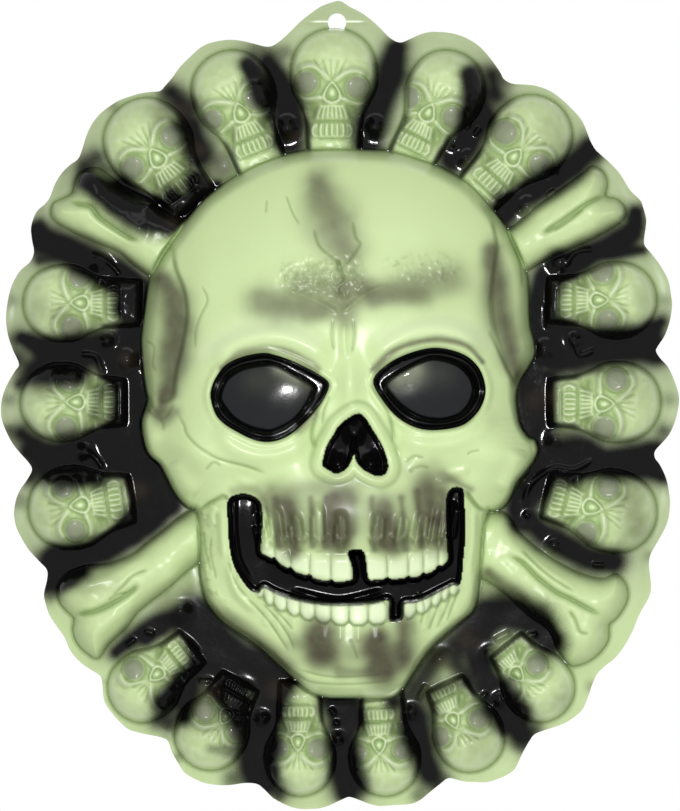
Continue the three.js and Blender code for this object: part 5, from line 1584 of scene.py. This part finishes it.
# %% Coarse faces
def coarse_faces(ids, whole):
    """The back's faces: blocks of sixteen cells where all are whole, single cells elsewhere."""
    rows, columns = (n // BLOCK for n in whole.shape)
    trimmed = whole[: rows * BLOCK, : columns * BLOCK]
    full = trimmed.reshape(rows, BLOCK, columns, BLOCK).all(axis=(1, 3)) & gentle
    fine = whole.copy()
    fine[: rows * BLOCK, : columns * BLOCK] &= ~np.kron(full, np.ones((BLOCK, BLOCK), bool))
    near = np.pad(full, 1)
    sides = [near[:-2, 1:-1], near[1:-1, 2:], near[2:, 1:-1], near[1:-1, :-2]]
    starts = [(0, 0), (0, BLOCK), (BLOCK, BLOCK), (BLOCK, 0)]
    steps = range(1, BLOCK)
    between = [
        [(0, k) for k in steps],
        [(k, BLOCK) for k in steps],
        [(BLOCK, BLOCK - k) for k in steps],
        [(BLOCK - k, 0) for k in steps],
    ]
    faces = []
    for pattern in range(16):
        chosen, path = full.copy(), []
        for side in range(4):
            open_side = bool(pattern >> side & 1)
            chosen &= sides[side] != open_side
            path.append(starts[side])
            path += between[side] if open_side else []
        r, c = np.nonzero(chosen)
        if len(r):
            faces.append(np.stack([ids[r * BLOCK + dr, c * BLOCK + dc] for dr, dc in path], 1))
    r, c = np.nonzero(fine)
    faces.append(np.stack([ids[r, c], ids[r, c + 1], ids[r + 1, c + 1], ids[r + 1, c]], 1))
    return faces


def by_length(polygons):
    """Clipped cells grouped by how many corners they have."""
    lengths = sorted({len(p) for p in polygons})
    return [np.array([p for p in polygons if len(p) == n]) for n in lengths]


print("a coarse face stands for", BLOCK * BLOCK, "cells")

# %% [markdown]
# ## Places, normals and the flat map
# Normals come from the slopes of the grid, so the shading is smooth right up to a piece's edge. The
# flat map has the front on its left half, the back on its right half and the rim as a thin hem.

# %% Places, normals and map
MAP_SHARE, MAP_MARGIN, MAP_HEM = 0.47, 0.012, 0.002


def unit(vectors):
    """Each vector at length one."""
    return vectors / np.maximum(np.linalg.norm(vectors, axis=1, keepdims=True), 1e-9)


def front_and_back(nodes, crossings):
    """Places and normals of a piece's vertices, all of the front and then all of the back."""
    x, y, front, rear = (at_nodes(f, nodes, crossings) for f in (X, Y, height, back))
    across, up = (x - HOLE_X) * PIXEL, (HOLE_Y - y) * PIXEL
    places = [np.stack([across, -depth / 1000, up], 1) for depth in (front, rear)]
    slopes = [at_nodes(f, nodes, crossings) for f in (slope_x, slope_y, back_slope_x, back_slope_y)]
    forward = -np.ones(len(x))
    front_normal = unit(np.stack([-slopes[0], forward, slopes[1]], 1))
    back_normal = -unit(np.stack([-slopes[2], forward, slopes[3]], 1))
    return np.vstack(places), np.vstack([front_normal, back_normal])


def flat_map(places, rim, outward):
    """The flat map of all vertices and that of the rim's corners."""
    count = len(places) // 2
    low, high = places.min(0), places.max(0)
    span = max(high[0] - low[0], high[2] - low[2])
    flat = (places[:, [0, 2]] - low[[0, 2]]) / span * MAP_SHARE + MAP_MARGIN
    flat[count:, 0] += 0.5
    hem = flat[rim % count]
    hem[:, 2:] += outward[:, None, [0, 2]] * MAP_HEM
    return flat, hem.reshape(-1, 2)


print("the map's halves are", MAP_SHARE, "wide")

# %% [markdown]
# ## One piece of the sheet
# A piece is built from arrays: vertices, the corners of all faces and each face's size. The paint
# layers are zero on the back, and a layer named bare marks it, because it wasn't sprayed.

# %% Shells
def new_mesh(name, places, corner, sizes):
    """A mesh from vertex places, the corners of all faces and each face's size."""
    mesh = bpy.data.meshes.new(name)
    mesh.vertices.add(len(places))
    mesh.vertices.foreach_set("co", places.astype(np.float32).ravel())
    mesh.loops.add(len(corner))
    mesh.loops.foreach_set("vertex_index", corner.astype(np.int32))
    mesh.polygons.add(len(sizes))
    mesh.polygons.foreach_set("loop_start", np.cumsum(sizes) - sizes)
    mesh.update(calc_edges=True)
    mesh.validate()
    return mesh


def add_layer(mesh, layer, values):
    """Puts one number for each vertex on the mesh."""
    mesh.attributes.new(layer, "FLOAT", "POINT").data.foreach_set("value", values)


def shell(name, level, material):
    """One named piece: front, back and rim, with its paint and a laid-out map."""
    ids, nodes, crossings, whole, polygons, edges = clip_cells(level)
    places, normals = front_and_back(nodes, crossings)
    count = len(places) // 2
    r, c = np.nonzero(whole)
    squares = np.stack([ids[r, c], ids[r + 1, c], ids[r + 1, c + 1], ids[r, c + 1]], 1)
    clipped = by_length(polygons)
    back_faces = coarse_faces(ids, whole) + [f[:, ::-1] for f in clipped]
    rim = np.stack([edges[:, 1], edges[:, 0], edges[:, 0] + count, edges[:, 1] + count], 1)
    groups = [squares, *clipped, *(f + count for f in back_faces), rim]
    corner = np.concatenate([f.ravel() for f in groups])
    sizes = np.concatenate([np.full(len(f), f.shape[1]) for f in groups])
    run = places[rim[:, 1]] - places[rim[:, 0]]
    outward = unit(np.stack([-run[:, 2], np.zeros(len(run)), run[:, 0]], 1))
    flat, hem = flat_map(places, rim, outward)
    laid, turned = flat[corner], normals[corner]
    on_rim = slice(len(corner) - rim.size, None)
    laid[on_rim] = hem
    turned[on_rim] = np.repeat(outward, 4, axis=0)
    used, corner = np.unique(corner, return_inverse=True)
    mesh = new_mesh(name, places[used], corner, sizes)
    uv_map = mesh.uv_layers.new(name="OFBake")
    uv_map.uv.foreach_set("vector", laid.astype(np.float32).ravel())
    for layer, field in paint.items():
        values = at_nodes(field, nodes, crossings)
        add_layer(mesh, layer, np.concatenate([values, np.zeros(count)])[used])
    add_layer(mesh, "bare", (used >= count).astype(float))
    mesh.normals_split_custom_set(turned)
    mesh.materials.append(material)
    piece = bpy.data.objects.new(name + "_skin", mesh)
    bpy.context.scene.collection.objects.link(piece)
    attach(piece, "root")
    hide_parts(name)
    return piece


print("pieces can be cut")

# %% [markdown]
# ## Shader maths
# A finish is a sum of layers. With a small class whose arithmetic adds nodes, it can be written as a
# formula and read as one, which a long list of nodes and links can't.

# %% Wires
class Wire:
    """One output in a material's node tree; arithmetic on wires adds math nodes."""

    def __init__(self, tree, socket=None):
        self.tree = tree
        self.socket = socket

    def node(self, kind, settings=None, values=None, output=0):
        """Adds a node with its settings, feeds its inputs and returns one output."""
        made = self.tree.nodes.new(kind)
        for key, value in (settings or {}).items():
            setattr(made, key, value)
        for key, value in (values or {}).items():
            feed(self.tree, made.inputs[key], value)
        return Wire(self.tree, made.outputs[output])

    def math(self, operation, a, b):
        """One math node."""
        return self.node("ShaderNodeMath", {"operation": operation}, {0: a, 1: b})

    def __add__(self, other):
        return self.math("ADD", self, other)

    def __sub__(self, other):
        return self.math("SUBTRACT", self, other)

    def __mul__(self, other):
        return self.math("MULTIPLY", self, other)

    def __rsub__(self, other):
        return self.math("SUBTRACT", other, self)

    __radd__ = __add__
    __rmul__ = __mul__

    def held(self):
        """The value held between 0 and 1."""
        return self.node("ShaderNodeClamp", None, {0: self})

    def layer(self, name):
        """A paint layer of the mesh."""
        return self.node("ShaderNodeAttribute", {"attribute_name": name}, None, "Fac")

    def noise(self, scale, detail=3.0):
        """Random waves through the piece, with so many to a metre."""
        place = self.node("ShaderNodeTexCoord", None, None, "Object")
        values = {"Vector": place, "Scale": scale, "Detail": detail}
        return self.node("ShaderNodeTexNoise", None, values)

    def tint(self, amount, under, over):
        """One colour laid over another by an amount."""
        settings = {"data_type": "RGBA"}
        return self.node("ShaderNodeMix", settings, {0: amount, 6: under, 7: over}, 2)


def feed(tree, socket, value):
    """Links a wire to an input, or sets a plain value on it."""
    if isinstance(value, Wire):
        tree.links.new(value.socket, socket)
    else:
        socket.default_value = value


print("shader maths ready")

# %% [markdown]
# ## Paint colours
# All were judged against the photo. The black and the smoky domes are almost without colour
# and get their look from what they reflect. The bare back is the sheet's own pale green.

# %% Paint colours
GREEN = (0.57, 0.71, 0.36, 1)
# Pale teeth, and also the colour of the painted highlight on brows and raised parts.
ENAMEL_AND_HIGHLIGHT = (0.72, 0.84, 0.54, 1)
# Olive is the colour of painted shade in creases and hollows.
SHADE_OLIVE = (0.20, 0.30, 0.10, 1)
# Misted black, and also the colour of painted shade round the eye sockets.
SMUDGE_AND_SHADE = (0.075, 0.07, 0.04, 1)
BLACK = (0.0035, 0.0035, 0.0035, 1)
# Bare smoky sheet, and also the colour of the painted reflection on the eye domes.
GLAZE_AND_REFLECTION = (0.22, 0.24, 0.17, 1)
AMBER = (0.055, 0.038, 0.024, 1)
SMOKE = (0.0045, 0.005, 0.0065, 1)
BARE = (0.50, 0.60, 0.33, 1)
print("green", GREEN[:3], "black", BLACK[:3])

# %% [markdown]
# ## Sprayed plastic
# Pale green plastic, satin where it is bare, with glossy black sprayed over it. The layers are mixed
# in the order of spraying. Thin black breaks up into speckles, and all has a faint orange peel.

# %% Sprayed plastic
SPECKLE_SCALE, SPECKLE_STRENGTH = 900, 1.3
MOTTLE_SCALE, MOTTLE_LEAST, MOTTLE_SPREAD = 60, 0.82, 0.36
DULL_SCALE, DULL_SPREAD = 220, 0.08
COAT_ROUGHNESS, COAT_IOR = 0.27, 1.4
PEEL_SCALE, PIT_SCALE, PIT_STRENGTH = 420, 620, 9
PEEL = {"Strength": 0.12, "Distance": 0.0004}


def sprayed_plastic(name, base, satin, gloss=0.16, specular=0.12, coat=0.5):
    """The sheet with its paint layers, over one base colour."""
    material = bpy.data.materials.new(name)
    material.use_nodes = True
    tree = material.node_tree
    shader = tree.nodes["Principled BSDF"]
    start = Wire(tree)
    soot = start.layer("soot")
    speckle = start.noise(SPECKLE_SCALE, 2.0) - 0.5
    soot = (soot + speckle * soot * (1 - soot) * SPECKLE_STRENGTH).held()
    mottled = start.noise(MOTTLE_SCALE, 4.0)
    smudge_and_shade = (start.layer("smudge_and_shade") * (MOTTLE_LEAST + mottled * MOTTLE_SPREAD)).held()
    # Pale teeth, and a painted highlight on the brows and raised parts.
    colour = start.tint(start.layer("enamel_and_highlight"), base, ENAMEL_AND_HIGHLIGHT)
    # Bare smoky glaze, and a painted reflection on the eye domes.
    colour = start.tint(start.layer("glaze_and_reflection"), colour, GLAZE_AND_REFLECTION)
    # Olive painted shade in creases and hollows.
    colour = start.tint(start.layer("shaded_crease"), colour, SHADE_OLIVE)
    # Misted black, and painted shade round the eye sockets.
    colour = start.tint(smudge_and_shade, colour, SMUDGE_AND_SHADE)
    colour = start.tint(soot, colour, BLACK)
    colour = start.tint((start.layer("amber") * soot).held(), colour, AMBER)
    colour = start.tint(start.layer("bare"), colour, BARE)
    feed(tree, shader.inputs["Base Color"], colour)
    dull = start.noise(DULL_SCALE, 3.0) * DULL_SPREAD
    shine = start.layer("glaze_and_reflection") * -0.2 + (satin - 0.04)
    feed(tree, shader.inputs["Roughness"], soot * (gloss - satin) + shine + dull)
    shader.inputs["Specular IOR Level"].default_value = specular
    feed(tree, shader.inputs["Coat Weight"], (1 - soot) * coat)
    shader.inputs["Coat Roughness"].default_value = COAT_ROUGHNESS
    shader.inputs["Coat IOR"].default_value = COAT_IOR
    peel = start.noise(PEEL_SCALE, 2.0)
    peel = peel + start.noise(PIT_SCALE, 4.0) * start.layer("pitted") * PIT_STRENGTH
    bump = start.node("ShaderNodeBump", None, {**PEEL, "Height": peel})
    feed(tree, shader.inputs["Normal"], bump)
    return material


print("orange peel", PEEL["Distance"] * 1000, "mm deep")

# %% [markdown]
# ## Five finishes
# They share their paint and differ in what lies under it and in gloss: green on the bone, shinier
# on the teeth and the flange, glossy in the openings and smoky at the eyes.

# %% Finishes
finishes = {
    "bone_green": sprayed_plastic("sprayed_bone_green", GREEN, 0.4),
    "tooth_green": sprayed_plastic("tooth_enamel_paint", GREEN, 0.3),
    "recess_black": sprayed_plastic("glossy_recess_black", GREEN, 0.3, 0.13, 0.1, 0),
    "smoky_dome": sprayed_plastic("smoky_eye_dome", SMOKE, 0.21, 0.12, 0.26, 0),
    "sprayed_flange": sprayed_plastic("sprayed_sheet", GREEN, 0.34),
}
SLOTS = {
    "left_eye_dome": "smoky_dome",
    "right_eye_dome": "smoky_dome",
    "nose_recess": "recess_black",
    "mouth_recess": "recess_black",
    "upper_teeth": "tooth_green",
    "lower_teeth": "tooth_green",
    "backing_sheet": "sprayed_flange",
}
print("finishes", sorted(finishes))

# %% [markdown]
# ## Building the pieces
# Each piece takes its finish from the table above; those not named there are plain bone. The slot
# lets a user repaint all pieces of one kind together.

# %% Build every piece
for name, level in levels.items():
    slot = SLOTS.get(name, "bone_green")
    piece = shell(name, level, finishes[slot])
    print(name, len(piece.data.polygons), "faces")

# %% [markdown]
# ## Floor
# The plaque hangs clear of a pale floor, which throws a little light up at the jaw.

# %% Floor
FLOOR_CORNERS = [(-3, -0.6, -0.62), (3, -0.6, -0.62), (3, 0.5, -0.62), (-3, 0.5, -0.62)]
floor_mesh = bpy.data.meshes.new("floor")
floor_mesh.from_pydata(FLOOR_CORNERS, [], [(0, 1, 2, 3)])
floor = bpy.data.objects.new("floor", floor_mesh)
bpy.context.scene.collection.objects.link(floor)
floor_paint = bpy.data.materials.new("pale_floor")
floor_paint.use_nodes = True
floor_shader = floor_paint.node_tree.nodes["Principled BSDF"]
floor_shader.inputs["Base Color"].default_value = (0.85, 0.85, 0.84, 1)
floor_shader.inputs["Roughness"].default_value = 0.8
floor_mesh.materials.append(floor_paint)
print("floor", round(-FLOOR_CORNERS[0][2], 2), "m below the hole")

# %% [markdown]
# ## Lamps
# The photo's glints sit on the domes, from a small lamp straight in front at the height of the
# eyes. A wide weak one above lifts the crown, and one behind shows the back in other views.

# %% Lamps
def lamp(name, place, degrees, energy, size):
    """An area lamp with its place, its turns about x, y and z, its energy and its width."""
    data = bpy.data.lights.new(name, "AREA")
    data.size, data.energy = size, energy
    made = bpy.data.objects.new(name, data)
    made.location = place
    made.rotation_euler = [math.radians(turn) for turn in degrees]
    bpy.context.scene.collection.objects.link(made)
    return made


key = lamp("key", (0.0125, -1.0, -0.26), (90, 0, 0), 5.8, 0.07)
top = lamp("top", (0.0, -0.95, 0.42), (55, 0, 0), 1.8, 0.7)
top.data.shape = "RECTANGLE"
top.data.size_y = 0.3
behind = lamp("behind", (0.4, 1.3, 0.5), (-62, 0, -16), 9.0, 1.2)
print("lamps", key.name, top.name, behind.name)

# %% [markdown]
# ## Surroundings
# The photo has a white background. The camera and the glossy paint see pure white, while the light
# thrown on the object is weaker, or the relief would wash out.

# %% World
FILL = 0.34
WHITE_FOR = ("Is Camera Ray", "Is Glossy Ray", "Is Transmission Ray")
world = bpy.data.worlds.new("world")
bpy.context.scene.world = world
world.use_nodes = True
air = Wire(world.node_tree)
camera_ray, glossy_ray, through_ray = [
    air.node("ShaderNodeLightPath", None, None, ray) for ray in WHITE_FOR
]
seen = (camera_ray + glossy_ray + through_ray).held()
background = world.node_tree.nodes["Background"]
background.inputs["Color"].default_value = (1, 1, 1, 1)
feed(world.node_tree, background.inputs["Strength"], seen * (1 - FILL) + FILL)
print("fill light", FILL)

# %% [markdown]
# ## Camera
# The photo was taken from some way off: the high crown isn't swollen by nearness. So a long lens
# looks from far away, and all places keep to the pixels they were read from.

# %% Camera
CAMERA_DISTANCE, SENSOR = 14.0, 36
camera_data = bpy.data.cameras.new("camera")
camera = bpy.data.objects.new("camera", camera_data)
bpy.context.scene.collection.objects.link(camera)
camera_data.lens = SENSOR * CAMERA_DISTANCE / (PICTURE_HEIGHT * PIXEL)
camera_data.clip_end = 30
picture_x = (PICTURE_WIDTH / 2 - HOLE_X) * PIXEL
picture_z = (HOLE_Y - PICTURE_HEIGHT / 2) * PIXEL
camera.location = (picture_x, -CAMERA_DISTANCE, picture_z)
camera.rotation_euler = (math.radians(90), 0, 0)
bpy.context.scene.camera = camera
bpy.context.scene.view_settings.view_transform = "Standard"
print("lens", round(camera_data.lens), "mm")
